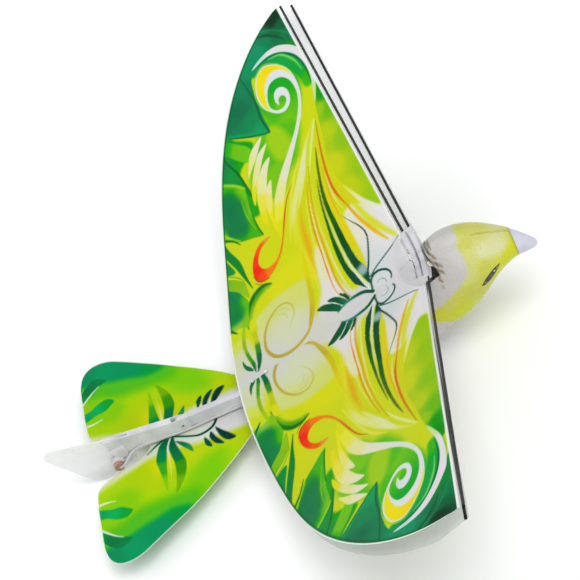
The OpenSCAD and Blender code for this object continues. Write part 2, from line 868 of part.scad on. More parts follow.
// A round lead swept along the points of its route
module lead(route, r) {
    n = 8;
    last = len(route) - 1;
    rings = [for (i = [0:last])
        let (step = route[min(last, i + 1)] - route[max(0, i - 1)])
        each ring(route[i], step / norm(step), r, n)];
    sides = [for (i = [0:last - 1], j = [0:n - 1])
        [i * n + j, (i + 1) * n + j, (i + 1) * n + (j + 1) % n, i * n + (j + 1) % n]];
    ends = [[for (j = [0:n - 1]) j], [for (j = [n - 1:-1:0]) last * n + j]];
    polyhedron(rings, concat(sides, ends));
}

lead_r = 0.35;
lead_front_route = [
    [65, 1.65, 3], [60, 1.2, 2.8], [54, -0.4, 2.2], [47, -2, 1.2], [40, -2.5, 0.4],
    [30, -2.5, -0.6], [20, -2.4, -1], [8, -2.4, -1.4], [-4, -2.4, -1.6], [-14, -2.45, -1.7],
    [-19, -2.6, -1.8]
];
lead_rear_route = [
    [-33, -2.65, -1.4], [-38, -2.6, -0.8], [-46, -2.6, -0.2], [-54, -2.65, 0.6],
    [-60, -3.2, 0.3], [-64, -5.4, -0.8], [-67, -7.6, -2], [-70, -8.6, -2.9],
    [-71.4, -8.6, -3.2]
];
lead_gap = 0.8;
module lead_pair(route) {
    lead(route, lead_r);
    lead([for (p = route) p + [0, 0, lead_gap]], lead_r);
}

module tail_leads_front() {
    color([0.8, 0.3, 0.25]) lead_pair(lead_front_route);
}

module tail_leads_rear() {
    color([0.8, 0.3, 0.25]) lead_pair(lead_rear_route);
}

keel();
shell_left();
shell_right();
beak();
gearbox_rear_plate();
gearbox_front_plate();
gearbox_posts();
gearbox_screws();
hinge_shaft();
crank_axle();
middle_gear_shaft();
drive_motor();
hinge_cover();
battery();
battery_pad();
circuit_board();
charge_socket();
switch_housing();
switch_slider();
film_root_pins();
root_web_upper_left();
root_web_upper_right();
root_web_lower_left();
root_web_lower_right();
tail_film_front();
tail_leads_front();
wing_arm_a();
arm_a_crank_pin();
rod_upper_left();
rod_lower_right();
film_upper_left();
film_lower_right();
wing_arm_b();
arm_b_crank_pin();
rod_lower_left();
rod_upper_right();
film_lower_left();
film_upper_right();
crank_gear();
crank_pin();
conrod_a();
conrod_b();
middle_gear();
motor_pinion();
motor_shaft();
tail_boom();
tail_hinge_pin();
tail_film();
tail_fin();
tail_motor();
tail_motor_clip();
tail_leads_rear();
tail_rotor();
tail_rotor_shaft();
tail_film_studs_front();
tail_film_studs_rear();
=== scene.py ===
"""Looks of a remote-control flapping-wing bird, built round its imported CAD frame.

Blender works in metres. Prints, outlines and body sections are drawn in millimetres and
scaled by MM. Film points are (across, back): distance from the middle line and distance
back from the hinge line, both measured on the wing. +X is forward, +Y left, +Z up.
"""

import json
import math

import bmesh
import bpy
import numpy as np
from mathutils import Matrix, Vector


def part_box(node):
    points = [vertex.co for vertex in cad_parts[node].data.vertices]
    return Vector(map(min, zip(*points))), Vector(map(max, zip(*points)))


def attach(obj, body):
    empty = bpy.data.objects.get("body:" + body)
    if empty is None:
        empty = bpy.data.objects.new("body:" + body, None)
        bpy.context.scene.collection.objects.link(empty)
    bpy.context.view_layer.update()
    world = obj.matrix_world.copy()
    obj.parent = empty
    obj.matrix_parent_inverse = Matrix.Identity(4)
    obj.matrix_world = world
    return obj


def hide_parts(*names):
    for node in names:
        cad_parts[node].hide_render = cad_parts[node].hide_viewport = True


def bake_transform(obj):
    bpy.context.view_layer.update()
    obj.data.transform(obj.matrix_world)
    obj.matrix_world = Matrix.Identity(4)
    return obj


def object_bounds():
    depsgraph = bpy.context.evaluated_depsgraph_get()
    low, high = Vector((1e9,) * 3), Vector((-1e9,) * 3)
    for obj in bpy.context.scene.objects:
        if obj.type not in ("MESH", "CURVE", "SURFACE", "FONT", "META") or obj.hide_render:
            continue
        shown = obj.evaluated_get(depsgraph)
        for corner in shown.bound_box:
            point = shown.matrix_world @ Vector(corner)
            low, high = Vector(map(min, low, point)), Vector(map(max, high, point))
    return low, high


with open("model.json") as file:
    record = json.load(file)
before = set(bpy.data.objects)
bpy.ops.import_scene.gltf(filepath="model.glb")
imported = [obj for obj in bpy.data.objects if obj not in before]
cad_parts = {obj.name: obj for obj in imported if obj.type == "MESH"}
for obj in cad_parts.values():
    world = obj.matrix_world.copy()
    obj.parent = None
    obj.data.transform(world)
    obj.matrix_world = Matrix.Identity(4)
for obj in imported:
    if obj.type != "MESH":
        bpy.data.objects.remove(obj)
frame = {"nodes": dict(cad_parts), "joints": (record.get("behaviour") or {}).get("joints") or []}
cad_low, cad_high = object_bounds()

MM = 0.001
# Brightness of a white surface under this scene's lights, and what its gloss adds to any colour
LIT = 1.15
VEIL = 0.01

joints = {j["name"]: j for j in frame["joints"]}
HINGE = np.array(joints["wing_flap_a"]["pos_m"])
FORWARD = np.array(joints["wing_flap_a"]["axis"])
RISE = np.array([-FORWARD[2], 0, FORWARD[0]])


# ---------- Camera, lights and floor ----------

def add_camera():
    """The view that the object is shown from: where the camera is, and its three axes."""
    place = (0.177604, -0.723939, 0.732128)
    right = Vector((0.9118, -0.1926, -0.3626))
    up = Vector((0.3946, 0.6550, 0.6444))
    back = Vector((0.1134, -0.7307, 0.6733))
    data = bpy.data.cameras.new("camera")
    data.lens = 111.72
    data.sensor_width = 36
    camera = bpy.data.objects.new("camera", data)
    bpy.context.scene.collection.objects.link(camera)
    turn = Matrix((right, up, back)).transposed()
    camera.matrix_world = Matrix.Translation(place) @ turn.to_4x4()
    bpy.context.scene.camera = camera


def add_softbox(name, place, aim, size, power):
    """A round lamp at a place, turned to face another."""
    data = bpy.data.lights.new(name, "AREA")
    data.shape = "DISK"
    data.size = size
    data.energy = power
    lamp = bpy.data.objects.new(name, data)
    bpy.context.scene.collection.objects.link(lamp)
    lamp.location = place
    lamp.rotation_mode = "QUATERNION"
    lamp.rotation_quaternion = (Vector(aim) - Vector(place)).to_track_quat("-Z", "Y")


def add_lights():
    """Three softboxes and an even pale sky."""
    middle = (cad_low + cad_high) / 2
    add_softbox("key_softbox", (0.5, -0.5, 1.7), middle, 1.3, 15)
    add_softbox("fill_softbox", (-1.1, 0.9, 1.2), middle, 1.2, 6)
    add_softbox("front_softbox", (0.35, -1.6, 0.55), middle, 1.0, 8)
    world = bpy.data.worlds.new("studio")
    bpy.context.scene.world = world
    world.use_nodes = True
    sky = world.node_tree.nodes["Background"]
    sky.inputs["Color"].default_value = (0.98, 0.99, 1, 1)
    sky.inputs["Strength"].default_value = 0.66
    bpy.context.scene.view_settings.view_transform = "Standard"


# ---------- Colours and materials ----------

def linear(colour):
    """A colour of the part, given in sRGB from 0 to 255, as the surface colour that shows it."""
    c = np.clip(np.asarray(colour, float), 0, 255) / 255
    c = np.where(c <= 0.04045, c / 12.92, ((c + 0.055) / 1.055) ** 2.4)
    return np.maximum(c / LIT - VEIL, 0)


class Surface:
    """A node material: a base colour with grain, uneven roughness and fine relief."""

    def __init__(self, name, roughness, stretch=(1, 1, 1)):
        self.material = bpy.data.materials.new(name)
        self.material.use_nodes = True
        self.nodes = self.material.node_tree.nodes
        self.links = self.material.node_tree.links
        self.shader = self.nodes["Principled BSDF"]
        self.roughness = roughness
        place = self.nodes.new("ShaderNodeTexCoord")
        self.place = self.nodes.new("ShaderNodeMapping")
        self.place.inputs["Scale"].default_value = stretch
        self.link(place.outputs["Object"], self.place.inputs["Vector"])

    def link(self, output, to):
        """Joins one node's output to another's input."""
        self.links.new(output, to)

    def noise(self, size, detail=4):
        """Noise with features of about size millimetres."""
        node = self.nodes.new("ShaderNodeTexNoise")
        node.inputs["Scale"].default_value = 1 / (size * MM)
        node.inputs["Detail"].default_value = detail
        self.link(self.place.outputs["Vector"], node.inputs["Vector"])
        return node.outputs["Fac"]

    def cells(self, size):
        """Round cells of about size millimetres."""
        node = self.nodes.new("ShaderNodeTexVoronoi")
        node.inputs["Scale"].default_value = 1 / (size * MM)
        self.link(self.place.outputs["Vector"], node.inputs["Vector"])
        return node.outputs["Distance"]

    def bands(self, size, axis):
        """Slightly wavy stripes about size millimetres apart."""
        node = self.nodes.new("ShaderNodeTexWave")
        node.bands_direction = axis
        node.inputs["Scale"].default_value = 0.31 / (size * MM)
        node.inputs["Distortion"].default_value = 0.6
        node.inputs["Detail Scale"].default_value = 2
        self.link(self.place.outputs["Vector"], node.inputs["Vector"])
        return node.outputs["Fac"]

    def spread(self, source, low, high, start=0.3, end=0.7):
        """The source's values from start to end, spread over low to high."""
        node = self.nodes.new("ShaderNodeMapRange")
        node.inputs["From Min"].default_value = start
        node.inputs["From Max"].default_value = end
        node.inputs["To Min"].default_value = low
        node.inputs["To Max"].default_value = high
        self.link(source, node.inputs["Value"])
        return node.outputs["Result"]

    def paint(self, dark, light, pattern):
        """A colour that runs between two tones with a pattern."""
        node = self.nodes.new("ShaderNodeValToRGB")
        node.color_ramp.elements[0].position = 0.3
        node.color_ramp.elements[0].color = (*linear(dark), 1)
        node.color_ramp.elements[1].position = 0.7
        node.color_ramp.elements[1].color = (*linear(light), 1)
        self.link(pattern, node.inputs["Fac"])
        self.link(node.outputs["Color"], self.shader.inputs["Base Color"])
        return self

    def paint_from(self, layer, grain, amount):
        """The colour stored on the mesh, darkened and lightened a little by a grain."""
        stored = self.nodes.new("ShaderNodeAttribute")
        stored.attribute_name = layer
        mix = self.nodes.new("ShaderNodeMix")
        mix.data_type = "RGBA"
        mix.blend_type = "MULTIPLY"
        mix.inputs["Factor"].default_value = 1
        tone = self.nodes.new("ShaderNodeCombineColor")
        shade = self.spread(grain, 1 - amount, 1 + amount)
        for channel in ("Red", "Green", "Blue"):
            self.link(shade, tone.inputs[channel])
        self.link(stored.outputs["Color"], mix.inputs[6])
        self.link(tone.outputs["Color"], mix.inputs[7])
        self.link(mix.outputs[2], self.shader.inputs["Base Color"])
        self.link(stored.outputs["Alpha"], self.shader.inputs["Alpha"])
        return self

    def wear(self, pattern, amount=0.08):
        """Roughness that varies over the surface."""
        rough = self.spread(pattern, self.roughness - amount, self.roughness + amount)
        self.link(rough, self.shader.inputs["Roughness"])
        return self

    def relief(self, pattern, height, strength=0.5):
        """Bumps of the given height in millimetres."""
        bump = self.nodes.new("ShaderNodeBump")
        bump.inputs["Distance"].default_value = height * MM
        bump.inputs["Strength"].default_value = strength
        self.link(pattern, bump.inputs["Height"])
        self.link(bump.outputs["Normal"], self.shader.inputs["Normal"])
        return self

    def gloss(self, **sockets):
        """Values that are the same all over the surface, on the shader's own sockets."""
        for name, value in sockets.items():
            self.shader.inputs[name.replace("_", " ")].default_value = value
        return self


def printed_film():
    """Thin plastic film that shows the print stored on it."""
    s = Surface("printed_film", 0.36)
    s.paint_from("print", s.noise(0.7, 3), 0.02)
    s.wear(s.noise(9), 0.08)
    s.relief(s.noise(26, 2), 0.9, 0.16)
    return s.gloss(Specular_IOR_Level=0.05).material


def hazy_film(name, alpha, dark=(228, 230, 232), light=(244, 245, 246)):
    """Unprinted film or thin clear plastic, as cloudy as alpha."""
    s = Surface(name, 0.34)
    s.paint(dark, light, s.noise(24, 2))
    s.wear(s.noise(9, 2), 0.06)
    s.relief(s.noise(30, 2), 0.5, 0.12)
    return s.gloss(Alpha=alpha, Specular_IOR_Level=0.2).material


def shell_paint_and_highlight():
    """Sprayed shell: the paint stored on it, with a painted highlight on the head, under a thin coat."""
    s = Surface("shell_paint_and_highlight", 0.38)
    s.paint_from("paint", s.noise(0.9, 5), 0.06)
    s.wear(s.noise(3), 0.12)
    s.relief(s.noise(1.3, 5), 0.1, 0.3)
    return s.gloss(Specular_IOR_Level=0.3, Coat_Weight=0.1, Coat_Roughness=0.25).material


def eye_decal():
    """Printed sticker of an eye, whose stored colours also hold a painted highlight."""
    s = Surface("eye_decal", 0.25)
    s.paint_from("print", s.noise(0.5, 3), 0.04)
    s.wear(s.noise(1), 0.06)
    s.relief(s.noise(0.6), 0.02, 0.4)
    return s.material


def moulded(name, dark, light, roughness=0.42, grain=1.2, height=0.05, **sockets):
    """Injection-moulded plastic: fine texture and cloudy tone."""
    s = Surface(name, roughness)
    s.paint(dark, light, s.noise(7 * grain, 3))
    s.wear(s.noise(2 * grain), 0.09)
    s.relief(s.noise(0.35 * grain, 6), height, 0.5)
    return s.gloss(**sockets).material


def metal(name, dark, light, roughness=0.28, stretch=(1, 0.05, 1)):
    """Drawn or turned metal: fine lines along its length."""
    s = Surface(name, roughness, stretch)
    s.paint(dark, light, s.noise(0.25, 5))
    s.wear(s.noise(0.4), 0.1)
    s.relief(s.noise(0.2, 4), 0.01, 0.4)
    return s.gloss(Metallic=1).material


def carbon_rod():
    """Black rod with fibres along its length."""
    s = Surface("carbon_rod", 0.33, (1, 0.04, 1))
    s.paint((6, 6, 8), (24, 24, 28), s.noise(0.3, 6))
    s.wear(s.noise(0.6), 0.1)
    s.relief(s.noise(0.25, 5), 0.02, 0.6)
    return s.gloss(Specular_IOR_Level=0.15).material


def battery_wrap():
    """Crinkled silver foil."""
    s = Surface("battery_wrap", 0.3)
    s.paint((150, 154, 160), (206, 210, 216), s.noise(3, 6))
    s.wear(s.noise(2), 0.1)
    s.relief(s.noise(1.5, 6), 0.12, 0.6)
    return s.gloss(Metallic=0.85).material


def open_cell_foam():
    """Dark sponge with small pores."""
    s = Surface("open_cell_foam", 0.9)
    s.paint((34, 34, 38), (78, 78, 84), s.cells(0.8))
    s.wear(s.noise(1), 0.06)
    s.relief(s.cells(0.6), 0.3, 0.8)
    return s.material


def board_lacquer():
    """Green lacquer over copper tracks."""
    s = Surface("board_lacquer", 0.35)
    s.paint((6, 66, 34), (34, 128, 66), s.bands(1.1, "X"))
    s.wear(s.noise(1), 0.08)
    s.relief(s.bands(1.1, "X"), 0.05, 0.6)
    return s.gloss(Coat_Weight=0.4).material


def lead_skin(name, dark, light):
    """Soft insulation of a thin lead."""
    s = Surface(name, 0.45)
    s.paint(dark, light, s.noise(1.5))
    s.wear(s.noise(0.8), 0.08)
    s.relief(s.noise(0.3), 0.02, 0.5)
    return s.material


def floor_paper():
    """Plain pale backdrop."""
    s = Surface("floor_paper", 0.9)
    s.paint((250, 250, 250), (255, 255, 255), s.noise(30))
    s.wear(s.noise(10), 0.04)
    s.relief(s.noise(2), 0.02, 0.2)
    for element in s.nodes["Color Ramp"].color_ramp.elements:
        element.color = (0.97, 0.97, 0.975, 1)
    return s.gloss(Specular_IOR_Level=0.1).material


# ---------- Meshes ----------

def hinge_points(across, back, rise):
    """Points given from the wing hinge, as points of the object. across is negative on the right."""
    across, back, rise = np.broadcast_arrays(across, back, rise)
    side = np.stack([np.zeros_like(across), across, np.zeros_like(across)], -1)
    return HINGE + MM * (side - back[..., None] * FORWARD + rise[..., None] * RISE)


def add_mesh(name, points, faces, material, smooth=True):
    """A piece made of points in metres and faces that list their numbers."""
    mesh = bpy.data.meshes.new(name)
    mesh.from_pydata(np.asarray(points, float).reshape(-1, 3).tolist(), [], faces)
    mesh.materials.append(material)
    mesh.polygons.foreach_set("use_smooth", [smooth] * len(mesh.polygons))
    mesh.update()
    piece = bpy.data.objects.new(name, mesh)
    bpy.context.scene.collection.objects.link(piece)
    return piece


def grid_faces(rows, columns, closed=False):
    """Faces of a grid of points, its last column joined to its first if closed."""
    strips = columns if closed else columns - 1
    i, j = np.meshgrid(np.arange(rows - 1), np.arange(strips), indexing="ij")
    k = (j + 1) % columns
    corners = np.stack([i * columns + j, i * columns + k, (i + 1) * columns + k, (i + 1) * columns + j], -1)
    return corners.reshape(-1, 4).tolist()


def store_colour(piece, layer, colour, alpha=None):
    """Puts sRGB colours on the mesh's points, as the surface colours that show them."""
    rgba = np.ones((len(colour), 4), np.float32)
    rgba[:, :3] = linear(colour)
    if alpha is not None:
        rgba[:, 3] = alpha
    data = piece.data.color_attributes.new(layer, "FLOAT_COLOR", "POINT")
    data.data.foreach_set("color", rgba.ravel())


def ramp(x, start, end):
    """0 before start, 1 after end, smooth between."""
    t = np.clip((np.asarray(x, float) - start) / (end - start), 0, 1)
    return t * t * (3 - 2 * t)


# ---------- Printing ----------

def curve(points, closed=False, steps=6):
    """A smooth curve through the points, with so many steps from one to the next."""
    p = np.asarray(points, float)
    before = np.roll(p, 1, 0)
    after = np.roll(p, -1, 0)
    if not closed:
        before[0] = p[0]
        after[-1] = p[-1]
    beyond = np.roll(after, -1, 0)
    if not closed:
        beyond[-2:] = p[-1]
    count = len(p) if closed else len(p) - 1
    t = (np.arange(steps) / steps)[None, :, None]
    a, b, c, d = (q[:count, None] for q in (before, p, after, beyond))
    square = (2 * a - 5 * b + 4 * c - d) * t**2
    cube = (3 * b - a - 3 * c + d) * t**3
    out = (0.5 * (2 * b + (c - a) * t + square + cube)).reshape(-1, p.shape[1])
    return out if closed else np.vstack([out, p[-1]])


class Print:
    """The colour at each point of a film, laid down in layers, in sRGB from 0 to 255."""

    def __init__(self, across, back, ground):
        self.at = np.stack([np.ravel(across), np.ravel(back)], 1)
        self.colour = np.tile(np.array(ground, float), (len(self.at), 1))

    def near(self, outline, margin):
        """The points inside the box round an outline, with a margin."""
        low, high = outline.min(0) - margin, outline.max(0) + margin
        return np.nonzero(((self.at > low) & (self.at < high)).all(1))[0]

    def lay(self, chosen, cover, ink):
        """Lays ink on the chosen points. cover runs from 0 to 1."""
        cover = np.clip(cover, 0, 1)[:, None]
        self.colour[chosen] = self.colour[chosen] * (1 - cover) + ink * cover

    def wash(self, cover, ink):
        """Lays one colour on every point."""
        self.lay(np.arange(len(cover)), cover, np.array(ink))

    @staticmethod
    def distance(at, line):
        """Distance from each point to a line of points, and how far along it the nearest point is."""
        best = np.full(len(at), 1e9)
        along = np.zeros(len(at))
        for i in range(len(line) - 1):
            step = line[i + 1] - line[i]
            t = np.clip(((at - line[i]) @ step) / max(step @ step, 1e-9), 0, 1)
            away = np.hypot(*(at - line[i] - t[:, None] * step).T)
            nearer = away < best
            best[nearer] = away[nearer]
            along[nearer] = (i + t[nearer]) / (len(line) - 1)
        return best, along

    def shape(self, outline, ink, soft=0.5, cover=1.0, steps=5):
        """Fills a smooth outline. ink is a colour, or several that shade into each other."""
        edge = curve(outline, True, steps)
        chosen = self.near(edge, soft)
        at = self.at[chosen]
        if not len(at):
            return
        ends = np.roll(edge, -1, 0)
        inside = np.zeros(len(at), bool)
        for a, b in zip(edge, ends):
            if a[1] != b[1]:
                crossing = (a[1] > at[:, 1]) != (b[1] > at[:, 1])
                inside ^= crossing & (at[:, 0] < (b[0] - a[0]) * (at[:, 1] - a[1]) / (b[1] - a[1]) + a[0])
        away, _ = self.distance(at, np.vstack([edge, edge[:1]]))
        depth = np.where(inside, away, -away)
        tone = np.array(ink, float) if np.isscalar(ink[0]) else self.shade(at, ink)
        self.lay(chosen, cover * ramp(depth, -soft / 2, soft / 2), tone)

    @staticmethod
    def shade(at, ink):
        """Colours that run smoothly between spots of ink: (across, back, red, green, blue)."""
        total = np.zeros((len(at), 1))
        tone = np.zeros((len(at), 3))
        for across, back, *colour in ink:
            weight = 1 / (0.5 + ((at - (across, back)) ** 2).sum(1)) ** 1.6
            total += weight[:, None]
            tone += weight[:, None] * np.array(colour, float)
        return tone / total

    def stroke(self, line, width, ink, soft=0.5, cover=1.0):
        """Draws a smooth line. width and ink are one value each, or one for each stage along it."""
        path = curve(line)
        widths = np.atleast_1d(np.array(width, float))
        inks = np.atleast_2d(np.array(ink, float))
        chosen = self.near(path, widths.max() / 2 + soft)
        if not len(chosen):
            return
        away, along = self.distance(self.at[chosen], path)
        half = np.interp(along, np.linspace(0, 1, len(widths)), widths) / 2
        stages = np.linspace(0, 1, len(inks))
        tone = np.stack([np.interp(along, stages, inks[:, i]) for i in range(3)], 1)
        self.lay(chosen, cover * (1 - ramp(away, half - soft / 2, half + soft / 2)), tone)


def paint_fields(p):
    """The broad washes of colour under the drawing."""
    p.shape([(60, 8), (112, 8), (122, 18), (108, 26), (84, 28), (62, 25)], (206, 206, 0), 8)
    p.shape([(42, 62), (100, 58), (104, 84), (90, 110), (44, 112)], (205, 213, 0), 12)
    p.shape([(36, 62), (56, 58), (62, 76), (56, 92), (42, 92)], (214, 216, 0), 8)
    p.shape([(82, 12), (112, 12), (118, 22), (96, 25), (80, 24)], (203, 208, 0), 6)
    p.shape([(43, 2), (48, 9), (56, 14), (66, 18), (75, 20.5), (86, 22.5), (97, 22), (110, 18), (122, 15),
             (135, 11), (150, 1), (96, -3)],
            [(52, 5, 150, 194, 10), (75, 5, 146, 192, 0), (100, 6, 138, 190, 0), (124, 6, 105, 182, 0),
             (136, 5, 30, 152, 0), (146, 4, 0, 140, 10), (70, 17, 186, 203, 0), (90, 20, 198, 206, 0),
             (112, 14, 180, 202, 0), (128, 11, 150, 195, 0)], 1.2)
    p.shape([(112, 44), (122, 33), (134, 27), (147, 31), (151, 44), (147, 56), (138, 68), (124, 76),
             (110, 72)], (84, 186, 0), 8)
    p.shape([(122, 38), (134, 38), (147, 44), (142, 53), (130, 54), (120, 50)], (156, 202, 0), 6)
    p.shape([(106, 52), (118, 50), (124, 60), (112, 68), (102, 64)], (120, 194, 0), 6)
    p.shape([(136, 26), (147, 17), (160, 14), (176, 22), (180, 34), (168, 47), (150, 46), (142, 38)],
            [(150, 34, 70, 184, 20), (165, 24, 30, 168, 40), (178, 34, 0, 156, 60),
             (142, 34, 110, 192, 10)], 5)
    p.shape([(148, 4), (162, 2), (178, 8), (188, 20), (190, 34), (184, 42), (176, 22), (160, 14),
             (148, 12)],
            [(150, 8, 60, 178, 20), (165, 9, 0, 158, 60), (180, 18, 20, 160, 70), (187, 32, 0, 150, 80)], 3)
    p.shape([(-9, -9), (47, -9), (46, 5), (58, 18), (60, 24), (56, 30), (30, 30), (12, 33), (-9, 34)],
            [(4, 10, 214, 210, 214), (30, 6, 224, 220, 222), (50, 27, 224, 220, 200),
             (14, 26, 206, 212, 212)], 3.5)
    p.shape([(-9, 30), (9, 34), (14, 46), (34, 52), (54, 52), (50, 59), (28, 63), (14, 70), (-9, 74)],
            [(2, 45, 206, 206, 206), (20, 56, 222, 216, 214), (45, 55, 222, 222, 190),
             (2, 66, 206, 206, 200)], 5)
    p.shape([(-9, 64), (14, 71), (40, 68), (46, 84), (45, 102), (36, 112), (-9, 116)],
            [(4, 76, 206, 206, 196), (20, 90, 207, 212, 176), (38, 76, 206, 214, 110),
             (42, 100, 206, 214, 120), (6, 104, 204, 206, 196)], 5)
    p.shape([(-9, 112), (20, 116), (36, 119), (40, 134), (-9, 138)],
            [(2, 124, 204, 205, 200), (20, 126, 205, 210, 172), (36, 128, 204, 216, 80)], 6)
    p.shape([(40, 118), (58, 114), (80, 118), (90, 130), (40, 138)], (196, 214, 30), 5)


def paint_trailing_leaves(p):
    """Overlapping feathers and leaves along the trailing edge and at the tip."""
    p.shape([(144, 48), (150, 57), (158, 68), (166, 78), (190, 76), (224, 40), (224, -9), (155, -9),
             (166, 1), (179, 6.5), (186, 14), (189.2, 24), (188.6, 35), (183, 42.5), (172, 45.5),
             (158, 47)],
            [(150, 53, 20, 152, 90), (160, 56, 0, 134, 80), (172, 60, 0, 112, 76), (182, 50, 0, 126, 84),
             (190, 42, 0, 142, 92), (196, 30, 0, 146, 100), (200, 22, 0, 128, 84), (206, 11, 0, 56, 38),
             (198, 8, 0, 98, 62), (190, 8, 0, 120, 70), (180, 5, 0, 130, 60)], 1.2)
    p.stroke([(188, 10), (195, 14.5), (201, 20), (206, 28)], [0.6, 2, 1.2], (0, 82, 54), 1.6)
    p.stroke([(184, 3), (193, 8), (201, 15), (208, 24)], [0.5, 1.4, 0.8], (20, 150, 100), 1.8, cover=0.6)
    p.stroke([(144, 48), (156, 49), (170, 47.4), (191, 49)], [1.4, 1.8, 0.8], (0, 104, 62), 1)
    p.stroke([(146, 51), (152, 60), (160, 70), (166, 78)], [2.6, 2.2, 1.2], (24, 156, 92), 2)
    p.stroke([(143.5, 48), (149, 57), (157, 68), (165, 77.5)], [0.8, 1.2, 0.8], (0, 112, 56), 0.8)
    p.shape([(104, 80), (120, 78), (137, 80), (146, 62), (158, 72), (168, 80), (150, 100), (118, 96)],
            [(118, 82, 40, 160, 10), (140, 76, 30, 160, 20), (150, 82, 0, 146, 60)], 3)
    p.shape([(118, 79.5), (126, 79.8), (140, 81.4), (150, 84.6), (160, 84), (158, 98), (136, 96),
             (126, 84)], [(124, 81, 20, 140, 30), (140, 84, 0, 146, 60), (152, 90, 0, 132, 70)], 0.9)
    p.stroke([(118, 79.2), (128, 79.6), (140, 81.2), (151, 84.8), (158, 84)], [0.7, 1.5, 1], (0, 104, 40),
             0.9)
    p.shape([(136, 66), (146, 65.4), (155, 71.6), (162, 78.6), (158, 84), (149, 79), (141, 73)],
            [(142, 68, 106, 196, 10), (152, 74, 112, 190, 10), (159, 81, 40, 170, 40)], 1.4)
    p.shape([(90.5, 83.2), (98, 84.2), (112, 84.4), (127, 81.5), (134, 86), (139, 91.5), (146, 98),
             (128, 114), (110, 112), (104, 105), (99, 99.5), (95, 92)],
            [(97, 86, 70, 176, 20), (112, 86.5, 112, 190, 16), (126, 85, 110, 192, 20),
             (134, 93, 60, 176, 20), (108, 95, 30, 150, 40), (122, 98, 0, 116, 76), (110, 103, 0, 134, 60),
             (118, 108, 150, 196, 10), (112, 109, 150, 204, 0)], 0.8)
    p.shape([(101, 93), (110, 88.5), (124, 87.5), (134, 93), (134, 102), (122, 110), (107, 104)],
            (0, 120, 74), 7, cover=0.85)
    p.stroke([(98, 86.5), (110, 88.4), (122, 87.2)], [0.4, 1, 0.4], (150, 208, 40), 1, cover=0.7)
    p.stroke([(90.5, 83.2), (97, 84.4), (108, 84.6)], [0.5, 1.1, 0.6], (16, 120, 10), 0.8)
    p.stroke([(127, 81.5), (133, 86), (138, 91), (142, 96)], [1.2, 2, 1.2], (170, 214, 50), 1.6, cover=0.8)
    p.stroke([(100, 100), (108, 106.5), (117, 111)], [0.8, 1.8, 1], (150, 208, 0), 1.2)
    p.stroke([(56.6, 92.5), (58.4, 97), (58.2, 102), (56, 106.6), (51.6, 110.4), (45, 113.2)],
             [0.8, 5, 6, 5, 2.6], [(110, 178, 10), (60, 150, 10), (60, 154, 16), (110, 176, 10)], 4,
             cover=0.85)
    p.stroke([(57.4, 91.5), (60, 96.5), (60, 102), (57.6, 107.2), (53.2, 111.4), (46, 114.4), (39, 115.4)],
             [0.8, 2.4, 3, 2.4, 1], [(10, 112, 16), (8, 112, 24), (14, 122, 14), (60, 150, 10)], 1)
    p.shape([(41, 115), (50, 112.5), (58, 110.3), (66, 112.8), (75, 117), (83, 122), (86, 136), (50, 138),
             (44.5, 121.5)],
            [(47, 116, 130, 190, 30), (58, 113, 90, 184, 20), (54, 122, 0, 140, 50), (70, 120, 0, 132, 80),
             (74, 126, 0, 120, 78), (48, 121, 150, 198, 60)], 0.9)
    p.shape([(50, 117), (58, 115), (70, 119), (79, 125), (78, 133), (56, 131), (49, 124)], (0, 124, 66), 6,
            cover=0.75)
    p.shape([(60, 108.8), (68, 108), (75, 108.6), (81, 112.4), (86, 118), (91, 124), (80, 124), (70, 115)],
            [(66, 110, 140, 190, 14), (76, 112, 132, 186, 10), (84, 119, 120, 184, 30)], 0.9)
    p.stroke([(75, 109.5), (80, 113.5), (85, 119), (88, 123)], [0.4, 1, 0.6], (214, 224, 90), 0.9)
    p.shape([(64, 104.3), (75, 105.4), (88, 106), (100, 110), (111, 112.6), (106, 116.5), (96, 114),
             (86, 110.6), (74, 107.4)],
            [(72, 106, 20, 128, 30), (88, 108.4, 0, 132, 50), (98, 112.6, 0, 128, 60),
             (107, 114, 10, 120, 50)], 0.9)
    p.shape([(84, 112), (94, 114.5), (104, 117.5), (96, 123), (88, 120)],
            [(90, 115, 0, 140, 60), (98, 119, 0, 128, 70)], 1.2)
    p.stroke([(98, 101), (103, 104), (107, 108), (111, 112.6)], [0.6, 1.4, 1.1], (10, 116, 20), 0.7)
    p.stroke([(42, 124), (46, 127), (51.5, 130.6)], [0.7, 1.8, 1.6], (0, 112, 58), 0.8)


